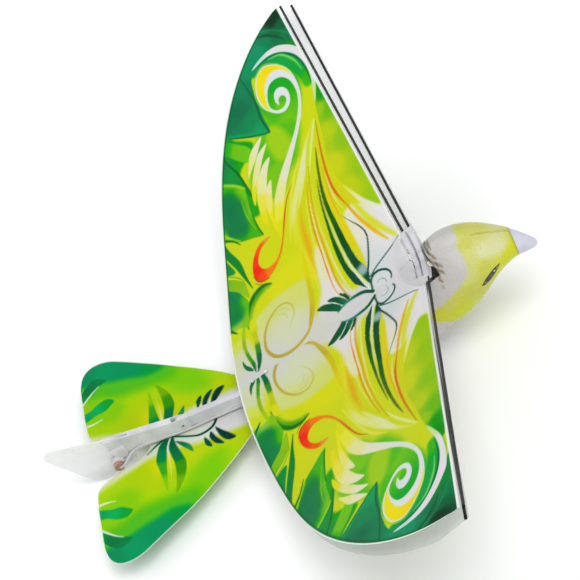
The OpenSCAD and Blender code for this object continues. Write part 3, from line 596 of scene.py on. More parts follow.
def paint_spiral(p):
    """The white spiral with its yellow crescent, and the arcs round it."""
    p.shape([(134, 11.5), (142, 6.5), (150, 3.2), (160, 1.9), (171, 2.4), (177, 5.2), (183, 10), (188, 16),
             (190.4, 23), (190.6, 30), (189.6, 36), (188.3, 39.5), (187.9, 36), (188, 30), (187, 24),
             (184, 18), (179, 12.5), (173, 8.4), (166, 6.2), (158, 5.4), (150, 6.4), (142, 9.2)],
            [(140, 9, 196, 222, 150), (155, 4, 222, 220, 226), (175, 7, 224, 218, 224),
             (188, 20, 222, 220, 222), (189, 34, 190, 222, 214)], 0.7, steps=4)
    p.stroke([(148, 7.4), (158, 6.3), (166, 7), (173, 9.6), (179, 14), (184, 20), (186.6, 27), (187.2, 35)],
             [0.5, 1.3, 1.5, 1.3, 0.6], (0, 104, 66), 0.8)
    p.stroke([(160, 8.9), (168, 10), (176, 13.4), (182, 18.4), (185.2, 26)], [0.5, 1.6, 1.6, 0.5],
             (110, 206, 90), 1.2)
    p.shape([(153.5, 36.6), (148.4, 33.8), (148.8, 29), (153, 26), (158, 26.4), (160.4, 30.4), (158, 34.8)],
            [(155, 30, 70, 182, 30), (152, 33, 110, 196, 20)], 1)
    outer = [(160, 15.6), (168, 16.8), (175, 20.3), (181, 25.8), (184.3, 32), (182, 38.5), (176, 43),
             (168, 45.2), (160, 44.3), (153, 40.4), (148, 35.7), (146.5, 31), (148.5, 26.5), (153, 24.2),
             (158, 24.2), (162, 26.6), (163.6, 30.2), (161.8, 33.6), (157.4, 35), (153.5, 34)]
    inner = [(153.5, 33.4), (156.6, 32.3), (157.3, 29.6), (155, 27.5), (152, 27.7), (149.9, 30.1),
             (149.7, 33.5), (152.2, 37.4), (157, 39.8), (163, 38.8), (168.8, 35), (170.4, 30),
             (168.4, 24.6), (164, 20.8), (158, 19), (150, 19.2), (143, 22), (136, 27), (130, 33),
             (124, 41), (118, 50), (112, 58), (105, 65), (97, 69.5), (88, 73)]
    ribbon = [(78, 72.4), (86, 68), (94, 63), (101, 58), (108, 52), (115, 44.5), (122, 37), (129, 29.5),
              (136, 23.3), (143, 19.2), (151, 16.4)]
    p.shape(ribbon + outer + inner,
            [(156, 17, 222, 220, 226), (140, 23, 214, 226, 206), (126, 36, 220, 220, 214),
             (115, 50, 226, 222, 196), (104, 61, 226, 224, 150), (94, 67, 228, 226, 60),
             (84, 71, 212, 218, 0), (148, 31, 216, 226, 216), (160, 26, 222, 222, 226),
             (156, 34, 214, 222, 220)], 0.7, steps=4)
    p.shape([(162, 16.3), (169, 17.8), (175.4, 21.4), (180.6, 26.6), (183.3, 32), (181.4, 38), (175.6, 42),
             (168, 44), (160, 43.1), (156, 41.2), (161, 40.8), (166, 39.4), (171, 37.3), (174.8, 33.5),
             (176.2, 29), (175, 24.6), (171.4, 20.6), (166.4, 17.9)],
            [(170, 19, 236, 222, 0), (180, 30, 238, 214, 0), (176, 38, 236, 222, 20),
             (164, 42.4, 234, 220, 0)], 1, steps=4)
    p.stroke([(176, 20.4), (182, 26), (185, 32), (182.6, 39), (176, 44), (168, 46), (160, 45)],
             [0.3, 0.7, 0.7, 0.3], (150, 214, 40), 0.8)


def paint_flames(p):
    """Streaks that fan from the root to the spiral, and the pointed flames below it."""
    p.stroke([(40, 62), (52, 60), (62, 58.5), (72, 57), (80, 54.5), (90, 50)], [1, 3.5, 4, 2.4, 1],
             [(222, 190, 0), (226, 166, 0), (220, 170, 0), (214, 200, 20)], 3.4, cover=0.9)
    p.stroke([(30, 64), (46, 62.4), (62, 63.8), (74, 61.4), (86, 55.5)], [1, 1.6, 1.6, 1], (228, 214, 90),
             1.8, cover=0.7)
    p.shape([(64, 66), (74, 62.5), (84, 57), (96, 47), (106, 38), (116, 29), (126, 19), (120, 28),
             (110, 39), (100, 49), (90, 58), (78, 64)],
            [(70, 64, 214, 216, 60), (90, 54, 222, 224, 140), (106, 40, 220, 226, 150),
             (122, 22, 212, 222, 100)], 1.8, cover=0.9)
    p.stroke([(86, 53.5), (95, 46.5), (102, 40.8), (110, 35.5), (116, 31), (120, 27)],
             [1.4, 3.2, 3.4, 2.2, 1], [(216, 222, 110), (220, 224, 172), (220, 224, 176), (206, 220, 100)],
             1.3, cover=0.9)
    p.stroke([(98, 37.5), (108, 31), (115, 26), (122, 20.5), (126, 17.5)], [0.8, 1.9, 2, 0.9],
             (214, 228, 150), 1.1, cover=0.9)
    p.stroke([(72, 68), (84, 62.5), (96, 55), (106, 46.5), (113, 38)], [0.8, 1.8, 1.8, 0.8],
             (224, 224, 120), 1.4, cover=0.7)
    p.shape([(117, 62.3), (111, 64.6), (104, 68), (97, 71), (84, 73.6), (98, 73.8), (107, 72.5),
             (112, 70.2), (115.4, 66.6)],
            [(114, 65, 230, 224, 170), (105, 69.5, 230, 224, 110), (92, 73, 230, 222, 20)], 0.8, steps=4)
    p.shape([(130, 56), (124, 61.3), (117, 66), (110, 70.2), (103, 73.8), (94, 77.2), (98, 79.6),
             (108, 78.2), (118, 74.8), (124.4, 70.4), (127.6, 66), (130, 61)],
            [(127, 61, 228, 224, 186), (119, 68, 228, 226, 160), (108, 75, 228, 222, 70),
             (97, 78, 224, 216, 0)], 0.8, steps=4)
    p.shape([(139.4, 53.6), (134, 60), (129, 65), (124, 70.4), (118, 75), (111, 79.8), (118, 79.2),
             (124, 75.8), (130, 71.4), (134.6, 67), (138.2, 62)],
            [(137, 59, 228, 224, 190), (128, 69, 226, 224, 150), (116, 78, 222, 216, 10)], 0.8, steps=4)
    p.shape([(146, 54.6), (140, 61), (136, 66), (133.4, 70.4), (130, 75.8), (136.4, 72.2), (141.6, 68.4),
             (144.6, 62.4)], [(143, 61, 228, 224, 190), (136, 70, 226, 226, 140)], 0.8, steps=4)
    p.stroke([(23, 6), (30, 10), (38, 14), (48, 17.5), (60, 20)], [2, 4.4, 3], (202, 214, 10), 3, cover=0.8)
    p.stroke([(28, 3.4), (38, 5.4), (48, 9.6), (57, 14.6), (66, 18), (74, 20.6)], [1.6, 3.4, 2.8, 0.7],
             [(226, 222, 226), (224, 222, 220), (222, 226, 180), (214, 222, 100)], 1.4, cover=0.95)
    p.stroke([(24, 11.5), (32, 15.2), (40, 18.4), (50, 21.8), (61, 24.2)], [1, 2.4, 2.2, 1.2],
             [(222, 196, 0), (226, 180, 0), (224, 176, 0), (214, 150, 10)], 1.4, cover=0.95)
    p.stroke([(61, 24.2), (68, 26), (75, 27.3), (83, 27.4), (92, 26.2), (100, 24.5), (108, 22.3),
              (116, 19.8), (124, 17.2)], [0.9, 1.7, 1.7, 1.2, 0.4],
             [(214, 150, 10), (206, 104, 0), (212, 110, 10), (196, 120, 10), (150, 140, 0)], 0.9)
    p.stroke([(62, 27.6), (70, 29.2), (80, 29.2), (90, 27.6)], [0.4, 1.3, 0.4], (222, 222, 160), 0.9,
             cover=0.8)


def paint_hook(p):
    """The orange and red hook."""
    p.shape([(103, 50.6), (98, 57), (92, 62), (85, 66.5), (78, 71), (71, 76), (66, 82), (63, 88),
             (62.2, 93), (64, 97.2), (67, 99.8), (71, 100.6), (76, 99.8), (81, 97.2), (85, 93.2),
             (87.3, 88), (87.2, 83), (85.6, 79.3), (84.6, 84), (84, 88), (81, 92), (77, 94.2), (73, 94),
             (69.5, 91.5), (68, 87), (69, 81.5), (73, 76.5), (79, 71.8), (86, 67.5), (93, 62.5), (99, 57)],
            [(101, 53, 190, 96, 0), (92, 62, 196, 90, 0), (84, 68, 214, 106, 20), (76, 73.5, 232, 124, 20),
             (68, 80, 238, 130, 20), (65, 89, 242, 120, 16), (66, 96, 240, 74, 8), (72, 98, 240, 44, 6),
             (79, 96.4, 238, 60, 8), (85, 90, 238, 92, 20), (86, 82, 224, 150, 60)], 0.7, steps=4)
    p.stroke([(61.6, 91), (63, 96), (66, 99.6), (71, 100.8)], [0.4, 0.8, 0.5], (150, 60, 0), 0.6)
    p.stroke([(60, 94), (62.4, 98.6), (66, 101.6)], [0.3, 0.6, 0.3], (170, 110, 0), 0.8)


def paint_root_plants(p):
    """Dark leaves, tendrils and the pale ring near the middle line."""
    p.shape([(18, 30.6), (30, 30), (50, 30.6), (80, 30.8), (76, 33.8), (50, 34.4), (28, 32.8)],
            [(26, 31, 214, 204, 40), (50, 32.4, 222, 202, 0), (72, 32, 216, 204, 0)], 1.6)
    p.stroke([(58, 31.6), (70, 31.8), (84, 30), (96, 27.8)], [0.5, 1.2, 0.5], (222, 170, 20), 1)
    p.shape([(8, 33), (14, 31), (17, 30.5), (22, 32), (28, 34), (40, 35), (55, 35.2), (70, 35), (82, 33.5),
             (92, 31), (100, 28.4), (110, 25.2), (100, 30.2), (92, 33), (82, 36), (70, 38), (55, 38.8),
             (40, 39.2), (28, 38.5), (20, 37), (13, 35)],
            [(12, 33, 0, 78, 50), (19, 33.6, 150, 176, 168), (26, 36.4, 0, 74, 48), (45, 37, 4, 76, 40),
             (64, 36.6, 40, 92, 14), (82, 34.8, 66, 100, 0), (98, 29.6, 90, 116, 0)], 0.6, steps=4)
    p.shape([(5, 34.5), (10, 36), (20, 39), (28, 41.2), (40, 41.6), (55, 41), (70, 39.2), (82, 36.8),
             (92, 34.4), (82, 37.9), (72, 40.4), (60, 42.4), (48, 44.2), (35, 44.9), (25, 44.2), (15, 42),
             (12, 40)],
            [(8, 36, 0, 80, 50), (20, 41, 0, 76, 50), (36, 43.4, 0, 84, 44), (56, 42, 40, 98, 10),
             (76, 39, 80, 112, 0)], 0.6, steps=4)
    p.stroke([(0, 33), (10, 36), (20, 38.3), (30, 40), (45, 40.4), (60, 39.8), (75, 37.8), (86, 35)],
             [1.4, 1.5, 1.2, 1, 0.4], [(214, 226, 224), (214, 224, 200), (200, 214, 120), (150, 176, 30)],
             0.5)
    p.stroke([(10, 33), (15, 31.5), (20, 28.8), (28, 25), (35, 22.3), (40, 22.2), (46, 24.3), (51, 27),
              (58, 30.4)], [1.3, 1.3, 1.1, 0.9, 0.4],
             [(30, 74, 52), (34, 74, 52), (60, 90, 60), (120, 150, 70)], 0.4)
    p.stroke([(11.5, 31), (14, 26), (16, 20), (18, 13), (20, 7), (21.4, 4.4)], [1.1, 1, 0.8],
             [(40, 96, 76), (60, 112, 100), (90, 130, 116)], 0.4)
    p.stroke([(1, 20), (4, 18.8), (8, 20.5), (10.8, 24.5), (11.2, 28.4), (9, 31.6), (5, 32.8), (0, 33)],
             [0.9, 1.3, 1.7, 1.5, 1], (14, 82, 58), 0.4)
    p.stroke([(-1, 24), (3, 23.6), (5.4, 26), (4.4, 29)], [0.3, 0.6, 0.3], (120, 160, 150), 0.5)
    p.stroke([(1, 33), (5, 38), (6.6, 43), (7.1, 48), (6.6, 53), (4.6, 58)], [2, 2.4, 2, 1],
             [(0, 76, 52), (14, 96, 70), (40, 130, 106), (90, 160, 140)], 0.6)
    p.shape([(8, 49.5), (9.5, 47.6), (13, 49), (16.4, 53.4), (12, 51.8)], (0, 84, 46), 0.5)
    p.shape([(8.6, 50.2), (13, 52.8), (16.6, 57), (17.4, 61.8), (13, 59.5), (9, 56), (7.3, 53)],
            [(10, 52, 30, 110, 80), (14, 57, 0, 84, 46), (9, 55.4, 0, 78, 44)], 0.5)
    p.shape([(7, 54.6), (11, 57.2), (15, 61.8), (17, 66), (16.2, 69.8), (12, 65.4), (7.4, 60), (5, 57)],
            [(8, 57, 0, 90, 60), (13, 62, 0, 86, 46), (15.6, 68, 0, 92, 40)], 0.5)
    p.stroke([(9, 50.1), (13, 52.4), (16.8, 56.4)], [0.3, 0.7, 0.3], (214, 222, 220), 0.4)
    p.stroke([(7.6, 54), (12.4, 57.8), (17, 62.4)], [0.3, 0.7, 0.3], (214, 222, 220), 0.4)
    p.stroke([(8, 46.8), (15, 49.6), (25, 51.3), (35, 51.1), (50, 49.6), (65, 48), (80, 44.5), (92, 40.4),
              (103, 35.5)], [0.7, 1.5, 1.5, 1.3, 0.6],
             [(196, 160, 110), (214, 164, 40), (216, 164, 20), (216, 170, 10), (190, 170, 20)], 0.8)
    p.stroke([(12, 52.4), (22, 54.6), (34, 54.4), (50, 52.8), (66, 50.8), (82, 46.8), (96, 41)],
             [0.4, 0.9, 0.9, 0.4], [(214, 190, 90), (222, 128, 20), (224, 120, 20), (214, 150, 10)], 0.6)
    p.stroke([(14, 50.8), (25, 53), (36, 52.8), (52, 51.2), (66, 49.4), (82, 45.6)], [0.4, 0.9, 0.4],
             (226, 222, 196), 0.6)
    p.stroke([(26, 57), (40, 56.6), (56, 54.8), (72, 51.6), (88, 46)], [0.4, 1.4, 0.4], (226, 222, 130),
             1.2, cover=0.8)
    p.stroke([(8, 43.6), (18, 46.6), (35, 48.2), (50, 47.6), (65, 46.4), (80, 43), (92, 38.4)],
             [0.7, 1.5, 1.3, 0.7], [(214, 214, 170), (226, 220, 140), (222, 214, 90), (210, 214, 40)], 0.9)
    p.stroke([(20, 45.2), (40, 46.2), (58, 44.6), (74, 41.2), (88, 37)], [0.6, 1.4, 0.6], (198, 206, 20), 1,
             cover=0.8)
    p.shape([(62, 63.6), (45, 65.6), (30, 68.6), (19, 71.8), (9, 78), (20, 74.2), (32, 71), (46, 68.6)],
            [(50, 66, 214, 208, 20), (30, 70, 204, 190, 30), (14, 75, 186, 166, 50)], 1)
    p.stroke([(32, 67.8), (20, 71), (12, 75), (6, 80), (2.6, 87), (1.9, 94), (4, 101), (9, 105.6),
              (16, 108), (24, 107.2), (31, 104), (36, 99), (38.6, 93), (37.6, 87.4), (33.5, 84), (28, 83.7),
              (23, 86), (19, 89.6)], [1, 2, 2.4, 2.2, 1.6, 1.3, 1.1, 0.5],
             [(200, 186, 40), (188, 168, 50), (180, 158, 60), (186, 168, 60), (196, 186, 80),
              (206, 206, 120)], 0.8)
    p.stroke([(30, 86.4), (34, 88.6), (35.6, 93), (34.6, 98.5)], [0.5, 1.2, 0.5], (200, 202, 110), 0.8)
    p.stroke([(26, 89), (31, 90.6), (33, 94.6)], [0.4, 0.8, 0.4], (196, 202, 90), 0.8, cover=0.8)
    p.shape([(4, 117), (8, 114), (14, 112), (22, 111.3), (30, 111), (40, 110), (44.4, 112), (40, 115),
             (30, 114.6), (20, 115.2), (12, 115.9)],
            [(6, 116, 0, 84, 56), (13, 113.6, 0, 100, 64), (21, 113, 60, 136, 40), (28, 113, 190, 196, 20),
             (40, 112, 212, 212, 0)], 0.6)
    p.shape([(4.6, 118.3), (12, 117.4), (18, 119), (26, 120.2), (34, 119.6), (42, 117.8), (43, 119.4),
             (36, 121.7), (28, 122.7), (20, 121.8), (12, 120)],
            [(8, 118.6, 10, 116, 50), (18, 120.6, 70, 150, 20), (28, 121.6, 140, 180, 10),
             (40, 119, 160, 196, 20)], 0.6)
    p.shape([(7, 119.5), (11, 121), (14.5, 123.5), (19.6, 125.4), (14, 125.4), (9.6, 123.2)], (6, 106, 62),
            0.5)


# How far out and how far back a film would reach if its trailing edge ran on round the tip
PRINTED_REACH = (211.5, 132.4)
CLEAR_REACH = (214.5, 133.4)


def trailing_edge(across, reach, chord):
    """How far back the trailing edge of a wing film is."""
    return chord * np.maximum(1e-4, 1 - (across / reach) ** 2) ** 0.55


def paint_wing(across, back, print_start, shift):
    """Colour and cover of a printed wing film. shift is how far out the print sits on this wing."""
    p = Print(across - shift, back, (200, 212, 0))
    paint_fields(p)
    paint_trailing_leaves(p)
    paint_spiral(p)
    paint_flames(p)
    paint_hook(p)
    paint_root_plants(p)
    across, back = across.ravel(), back.ravel()
    to_edge = (trailing_edge(across, *PRINTED_REACH) - back) * np.clip(1.15 - (across / 240) ** 2, 0.25, 1)
    rim = (1 - ramp(to_edge, 1.2, 2.6)) * ramp(across, 40, 56)
    p.wash(rim * 0.75, (0, 92, 44))
    p.wash(1 - ramp(to_edge, 0.5, 1.0), (236, 238, 232))
    clear = 1 - ramp(back, print_start - 0.3, print_start + 0.3)
    p.wash(clear, (236, 238, 236))
    return p.colour, 1 - clear


def paint_tail(length, across):
    """Colour of the tail film at points (distance forward, distance from the middle line)."""
    p = Print(length, across, (165, 210, 0))
    p.shape([(30, 10), (-20, 12), (-50, 10), (-70, 22), (-60, 34), (-46, 38), (-20, 28), (10, 26)],
            [(-10, 20, 180, 208, 20), (-62, 26, 172, 204, 0), (-44, 20, 206, 212, 0),
             (-40, 32, 168, 204, 0), (-30, 24, 182, 208, 0)], 10)
    p.shape([(30, -9), (30, 13), (-16, 15), (-34, 12), (-52, 12), (-66, 16), (-84, 22), (-92, 24),
             (-92, 16), (-66, 9), (-50, -9)],
            [(0, 4, 214, 214, 212), (-30, 8, 216, 220, 204), (-56, 10, 216, 220, 196),
             (-80, 19, 214, 220, 160)], 6)
    p.shape([(-8, 28), (-20, 26), (-34, 38), (-36, 58), (-14, 50)], (124, 200, 0), 14)
    p.shape([(-28, 46), (-50, 44), (-78, 46), (-92, 54), (-92, 70), (-50, 64), (-30, 62)], (84, 186, 40),
            12)
    p.shape([(-34, 58), (-44, 54), (-55, 57), (-66, 60), (-80, 64), (-94, 66), (-80, 84), (-50, 72)],
            [(-40, 58, 0, 150, 70), (-55, 64, 0, 146, 92), (-72, 72, 0, 150, 96), (-82, 74, 0, 140, 90)], 7)
    p.shape([(-68, 28), (-80, 30), (-90, 36), (-90, 50), (-74, 50), (-62, 38)], (134, 200, 10), 10)
    p.shape([(-68, 44), (-72, 47.5), (-78, 46.5), (-84, 43), (-92, 41), (-92, 34.4), (-84, 36.5), (-80, 38),
             (-75, 38.5), (-71, 41)],
            [(-72, 44, 20, 160, 60), (-80, 42, 0, 172, 90), (-88, 38, 0, 160, 90)], 1)
    p.shape([(-71, 63), (-75, 66.5), (-80, 67), (-85, 63), (-88.5, 58), (-90, 50), (-82, 56), (-77, 60)],
            [(-75, 64, 0, 128, 70), (-84, 60, 0, 118, 70), (-88, 54, 0, 140, 60)], 1)
    p.stroke([(-77, 33), (-81, 32), (-85, 31.6), (-89, 32)], [0.4, 1.2, 1.7], (226, 232, 214), 1)
    p.stroke([(-76, 60.6), (-80, 58), (-84, 54.4), (-88, 50.4)], [0.4, 1.1, 1.5], (214, 228, 200), 1)
    p.shape([(-37, 1), (-36, 8), (-33.5, 17), (-32, 24), (-33.5, 32), (-36.5, 38), (-41, 44), (-39.8, 36),
             (-39, 30), (-38.8, 22), (-40, 15), (-40.5, 8)],
            [(-38, 5, 0, 98, 66), (-36.5, 16, 0, 116, 70), (-35.6, 26, 60, 148, 20),
             (-38, 38, 116, 174, 0)], 0.7)
    p.shape([(-39, 2), (-41.5, 8), (-42.5, 13), (-43.5, 20), (-44.6, 30), (-46, 41), (-47.6, 30),
             (-48.6, 22), (-49.4, 16), (-48, 10), (-45, 4)],
            [(-42, 5, 0, 110, 72), (-45.6, 13, 0, 132, 80), (-46.6, 22, 60, 164, 40),
             (-46.4, 35, 130, 196, 10)], 0.7)
    p.stroke([(-38, 1), (-41, 8), (-41.4, 15), (-41.6, 24), (-42.6, 34)], [1, 1.1, 0.7, 0.3],
             [(222, 230, 214), (214, 226, 190), (190, 214, 90)], 0.6)
    p.shape([(-36, 6), (-31, 9), (-27.5, 13), (-26.6, 18.8), (-30, 15), (-33, 11)],
            [(-33, 9, 20, 116, 76), (-28, 15, 40, 140, 80)], 0.6)
    p.shape([(-11, 7.5), (-7, 12), (-3, 16.5), (0, 21), (-5, 21), (-9, 16)], (0, 62, 56), 0.6)
    p.shape([(-14, 9.6), (-11.5, 15), (-7.6, 22), (-12.5, 19.8), (-15.4, 14)], (0, 66, 56), 0.6)
    p.shape([(-18.6, 12), (-16, 16), (-15, 21), (-18.6, 18)], (0, 80, 60), 0.6)
    p.stroke([(-8, -1), (-12, 6), (-20, 8.6), (-28, 6), (-38, 1)], [1.6, 1.8, 1.4, 1.6],
             [(0, 62, 56), (0, 80, 62), (20, 110, 80)], 0.6)
    p.stroke([(-38, 0), (-46, 3), (-54, 8)], [2, 1.6, 0.6], (0, 104, 70), 0.7)
    return p


# ---------- Wing films ----------

# How steeply the rods climb outward from the hinge
UPPER_SLOPE = math.tan(math.radians(14.0))
LOWER_SLOPE = math.tan(math.radians(12.4))
# How far behind the hinge each arm's rods run
ARM_BACK = {"a": 2.2, "b": -2.2}
# Extra height of an upper film over the other arm's rod, which only arm b's film covers
OVER_ROD = {"a": 0.0, "b": 0.8}
# How far behind the hinge the guard starts: clear of the arms, and on arm a of its connecting rod
GUARD_FRONT = {"a": 5.6, "b": 4.0}
GUARD_LOWEST = 4.2
# How cloudy the unprinted front of an upper film is: on its own, over the other rod, and at its hem
FRONT_HAZE, ROD_HAZE, HEM_HAZE = 0.02, 0.4, 0.9
FILM_TIP = 211.3
# The root line, where the films are clamped: its height at the hinge, and its climb for each mm back
ROOT_RISE = -1
ROOT_CLIMB = 0.1265
# How far back the films start beside the hinge, where the arms are in the way
ROOT_START = 7


def film_rise(across, back, upper, over=0.0):
    """Height of a stretched film over the hinge axis. At the keel it runs along the root line.

    over is the extra height a film needs to pass over the other arm's rod.
    """
    slope = UPPER_SLOPE if upper else LOWER_SLOPE
    behind = np.maximum(back, 0)
    # An upper film lies over its arm, and a lower one hangs lowest near the body
    if upper:
        lift = 0.9 + over * ramp(back, -1.5, 0.5) + 0.5 * ramp(back, 2, 8)
    else:
        lift = -2.9 + 1.5 * ramp(across, 22, 36)
    ease = 3 if upper else 1.5
    root = ROOT_RISE + ROOT_CLIMB * behind + (0.5 if upper else -0.5)
    sag = 0.05 * behind * np.exp(-(((across - 115) / 70) ** 2))
    outer = across * slope - sag + lift
    return root + ease * np.log1p(np.exp((outer - root) / ease))


def film_front(across, arm):
    """How far back a film's front edge is: behind the hinge at the body, round its rod further out."""
    return ROOT_START + (ARM_BACK[arm] - 1 - ROOT_START) * ramp(across, 15, 22)


def film_grid(arm, spans, chords, outline):
    """Points (across, back) of a film, closer together towards the tip."""
    t = np.linspace(0, 1, spans)
    across = (FILM_TIP * (0.6 * t + 0.4 * np.sin(math.pi / 2 * t)))[:, None]
    front = film_front(across, arm)
    edge = np.maximum(trailing_edge(across, *outline), front + 2)
    back = front + np.linspace(0, 1, chords)[None, :] * (edge - front)
    return np.broadcast_to(across, back.shape), back


def bend_with(piece, side):
    """Bakes the film's placement into its mesh, where the whole film stays.

    start and end, from near the keel outward and a little forward, are worked out but not used.
    """
    start = Vector(hinge_points(side * 0.5, 0, 0))
    end = start + Vector(hinge_points(side * 17.83, -5.54, 0)) - Vector(HINGE)
    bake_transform(piece)


def print_shift(across, back):
    """How much further out the print sits on the right wing than on the left."""
    inner = 4 - 0.135 * (back - 20)
    return (inner + (5.5 - inner) * ramp(across, 75, 120)) * (1 - ramp(across, 195, 211))


def add_upper_film(side, word, arm, material):
    """Printed film: clear round its own rod, hazy over the other rod on the right, then a pale hem."""
    across, back = film_grid(arm, spans=440, chords=214, outline=PRINTED_REACH)
    rise = film_rise(across, back, True, OVER_ROD[arm])
    piece = add_mesh(f"printed_film_{word}", hinge_points(side * across, back, rise),
                     grid_faces(*across.shape), material)
    print_start = ARM_BACK[arm] + 2.6
    shift = print_shift(across, back) if side < 0 else np.zeros_like(back)
    colour, cover = paint_wing(across, back, print_start, shift)
    over_rod = ramp(back.ravel(), -1.4, 0) if side < 0 else 0
    hem = ramp(back.ravel(), print_start - 1.5, print_start - 0.8)
    haze = np.maximum(FRONT_HAZE + ROD_HAZE * over_rod, HEM_HAZE * hem)
    store_colour(piece, "print", colour, np.maximum(cover, haze))
    bend_with(piece, side)
    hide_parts(f"film_upper_{word}", f"root_web_upper_{word}")


def add_lower_film(side, word, arm, material):
    """Clear film under a printed one."""
    across, back = film_grid(arm, spans=90, chords=40, outline=CLEAR_REACH)
    rise = film_rise(across, back, False)
    piece = add_mesh(f"clear_film_{word}", hinge_points(side * across, back, rise),
                     grid_faces(*across.shape), material)
    bend_with(piece, side)
    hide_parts(f"film_lower_{word}", f"root_web_lower_{word}")


def add_sleeve(side, word, layer, arm, material):
    """Hem of hazy film that holds a rod."""
    slope = UPPER_SLOPE if layer == "upper" else LOWER_SLOPE
    inner_end, outer_end = 21.6, 211
    rows, columns = 70, 14
    across = np.linspace(inner_end, outer_end, rows)[:, None]
    turn = np.linspace(0, 2 * math.pi, columns, endpoint=False)[None, :]
    pinch = 0.35 + 0.65 * ramp(across, inner_end, 26)
    back = ARM_BACK[arm] + 1.5 * np.cos(turn) * pinch
    rise = across * slope + 0.92 * np.sin(turn)
    piece = add_mesh(f"sleeve_{layer}_{word}", hinge_points(side * across, back, rise),
                     grid_faces(rows, columns, closed=True), material)
    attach(piece, f"arm_{arm}_body")


def add_guard(side, word, arm, outline, material):
    """Half of the clear rounded guard over the front of the printed films at the hinge."""
    rows, columns = 30, 12
    edge = curve(outline)
    across = np.linspace(0, edge[-1][0], rows)[:, None]
    rear = np.interp(across[:, 0], edge[:, 0], edge[:, 1])[:, None]
    front = np.minimum(np.minimum(film_front(across, arm) - 0.3, GUARD_FRONT[arm]), rear - 0.2)
    step = np.linspace(0, 1, columns)[None, :]
    back = front + step * (rear - front)
    film = film_rise(across, np.maximum(back, 0), True, OVER_ROD[arm])
    dome = 0.6 * np.sin(math.pi * np.minimum(step, 0.98))
    rise = np.maximum(film + 0.5, GUARD_LOWEST) + dome
    piece = add_mesh(f"hinge_guard_{word}", hinge_points(side * across, back, rise + 0 * back),
                     grid_faces(rows, columns), material)
    thick = piece.modifiers.new("thickness", "SOLIDIFY")
    thick.thickness = 0.3 * MM
    thick.use_rim = False
    bend_with(piece, side)
    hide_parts("hinge_cover")


# Rear edge of each half of the hinge guard
GUARD_LEFT = [(0, 14.3), (2.7, 14.3), (8.7, 13.9), (13.3, 12.9), (16, 11.6), (18.6, 9.1), (19.4, 6.2)]
GUARD_RIGHT = [(0, 14.2), (5.1, 13.5), (14.4, 10), (22.5, 5.2), (27.6, -0.2)]


def add_wings():
    """Two films on each side, each on its own arm, with the guard over their roots."""
    film = printed_film()
    clear = hazy_film("clear_film", 0.42, (212, 214, 215), (228, 230, 231))
    sleeve = hazy_film("rod_sleeve", 0.03)
    guard = hazy_film("guard_plastic", 0.45, (230, 230, 230), (246, 245, 248))
    # Side, its name, and the arms that carry its upper and its lower film
    for side, word, upper_arm, lower_arm in ((1, "left", "a", "b"), (-1, "right", "b", "a")):
        add_upper_film(side, word, upper_arm, film)
        add_lower_film(side, word, lower_arm, clear)
        add_sleeve(side, word, "upper", upper_arm, sleeve)
        add_sleeve(side, word, "lower", lower_arm, sleeve)
    add_guard(1, "left", "a", GUARD_LEFT, guard)
    add_guard(-1, "right", "b", GUARD_RIGHT, guard)


# ---------- Tail film ----------

# Outer edge and rear notch of the tail film: (forward, distance from the middle line)
TAIL_OUTER = [(26, 9), (10, 24), (-6, 38), (-30, 55.7), (-48, 67), (-60, 74.3), (-66, 77.6), (-71, 79.2),
              (-75, 79.5), (-79.5, 78.8), (-83.3, 76.2), (-86, 72), (-87.6, 65.5), (-88.5, 57)]
TAIL_INNER = [(-50.5, 0), (-52.5, 4.6), (-58, 9.4), (-66, 12), (-78, 15.6), (-83.5, 18.2), (-86.5, 22),
              (-87.5, 28), (-88.5, 42)]
TAIL_REAR, TAIL_FRONT = -88.5, 26
NOTCH_START = TAIL_INNER[0][0]
# Height of the tail film in front of the boom's hinge, its climb behind it, and where the hinge is
TAIL_LEVEL = -3.2
TAIL_CLIMB = math.tan(math.radians(2.1))
TAIL_HINGE = -28


def edge_at(outline, length):
    """Second value of an outline where its first is length."""
    line = curve(outline)
    order = np.argsort(line[:, 0])
    return np.interp(length, line[order, 0], line[order, 1])


def add_tail_film(material):
    """Printed tail: both halves, joined on the middle line in front of the notch."""
    t = np.linspace(0, 1, 250)
    length = TAIL_REAR + (TAIL_FRONT - TAIL_REAR) * (0.55 * t + 0.45 * t**2.4)
    outer = edge_at(TAIL_OUTER, length)
    inner = np.where(length < NOTCH_START, edge_at(TAIL_INNER, length), 0)
    share = np.linspace(0, 1, 130)[None, :]
    across = inner[:, None] + share * (outer - inner)[:, None]
    length = np.broadcast_to(length[:, None], across.shape)
    ripple = 0.5 * np.sin(length / 13) * ramp(across, 20, 60)
    rise = TAIL_LEVEL + TAIL_CLIMB * np.maximum(TAIL_HINGE - length, 0) + ripple
    halves = [np.stack([length, side * across, rise], -1).reshape(-1, 3) * MM for side in (1, -1)]
    faces = grid_faces(*across.shape)
    mirrored = [[i + across.size for i in reversed(f)] for f in faces]
    piece = add_mesh("printed_tail_film", np.vstack(halves), faces + mirrored, material)
    paint = paint_tail(length, across)
    rim = np.minimum((outer - inner)[:, None] * (1 - share), 99).ravel()
    rear = (length - TAIL_REAR).ravel()
    paint.wash(1 - ramp(np.minimum(rim, rear), 0.3, 0.9), (234, 238, 226))
    store_colour(piece, "print", np.vstack([paint.colour] * 2))
    weld = bmesh.new()
    weld.from_mesh(piece.data)
    bmesh.ops.remove_doubles(weld, verts=weld.verts, dist=0.02 * MM)
    weld.to_mesh(piece.data)
    weld.free()
    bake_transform(piece)
    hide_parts("tail_film", "tail_film_front")


# ---------- Body ----------

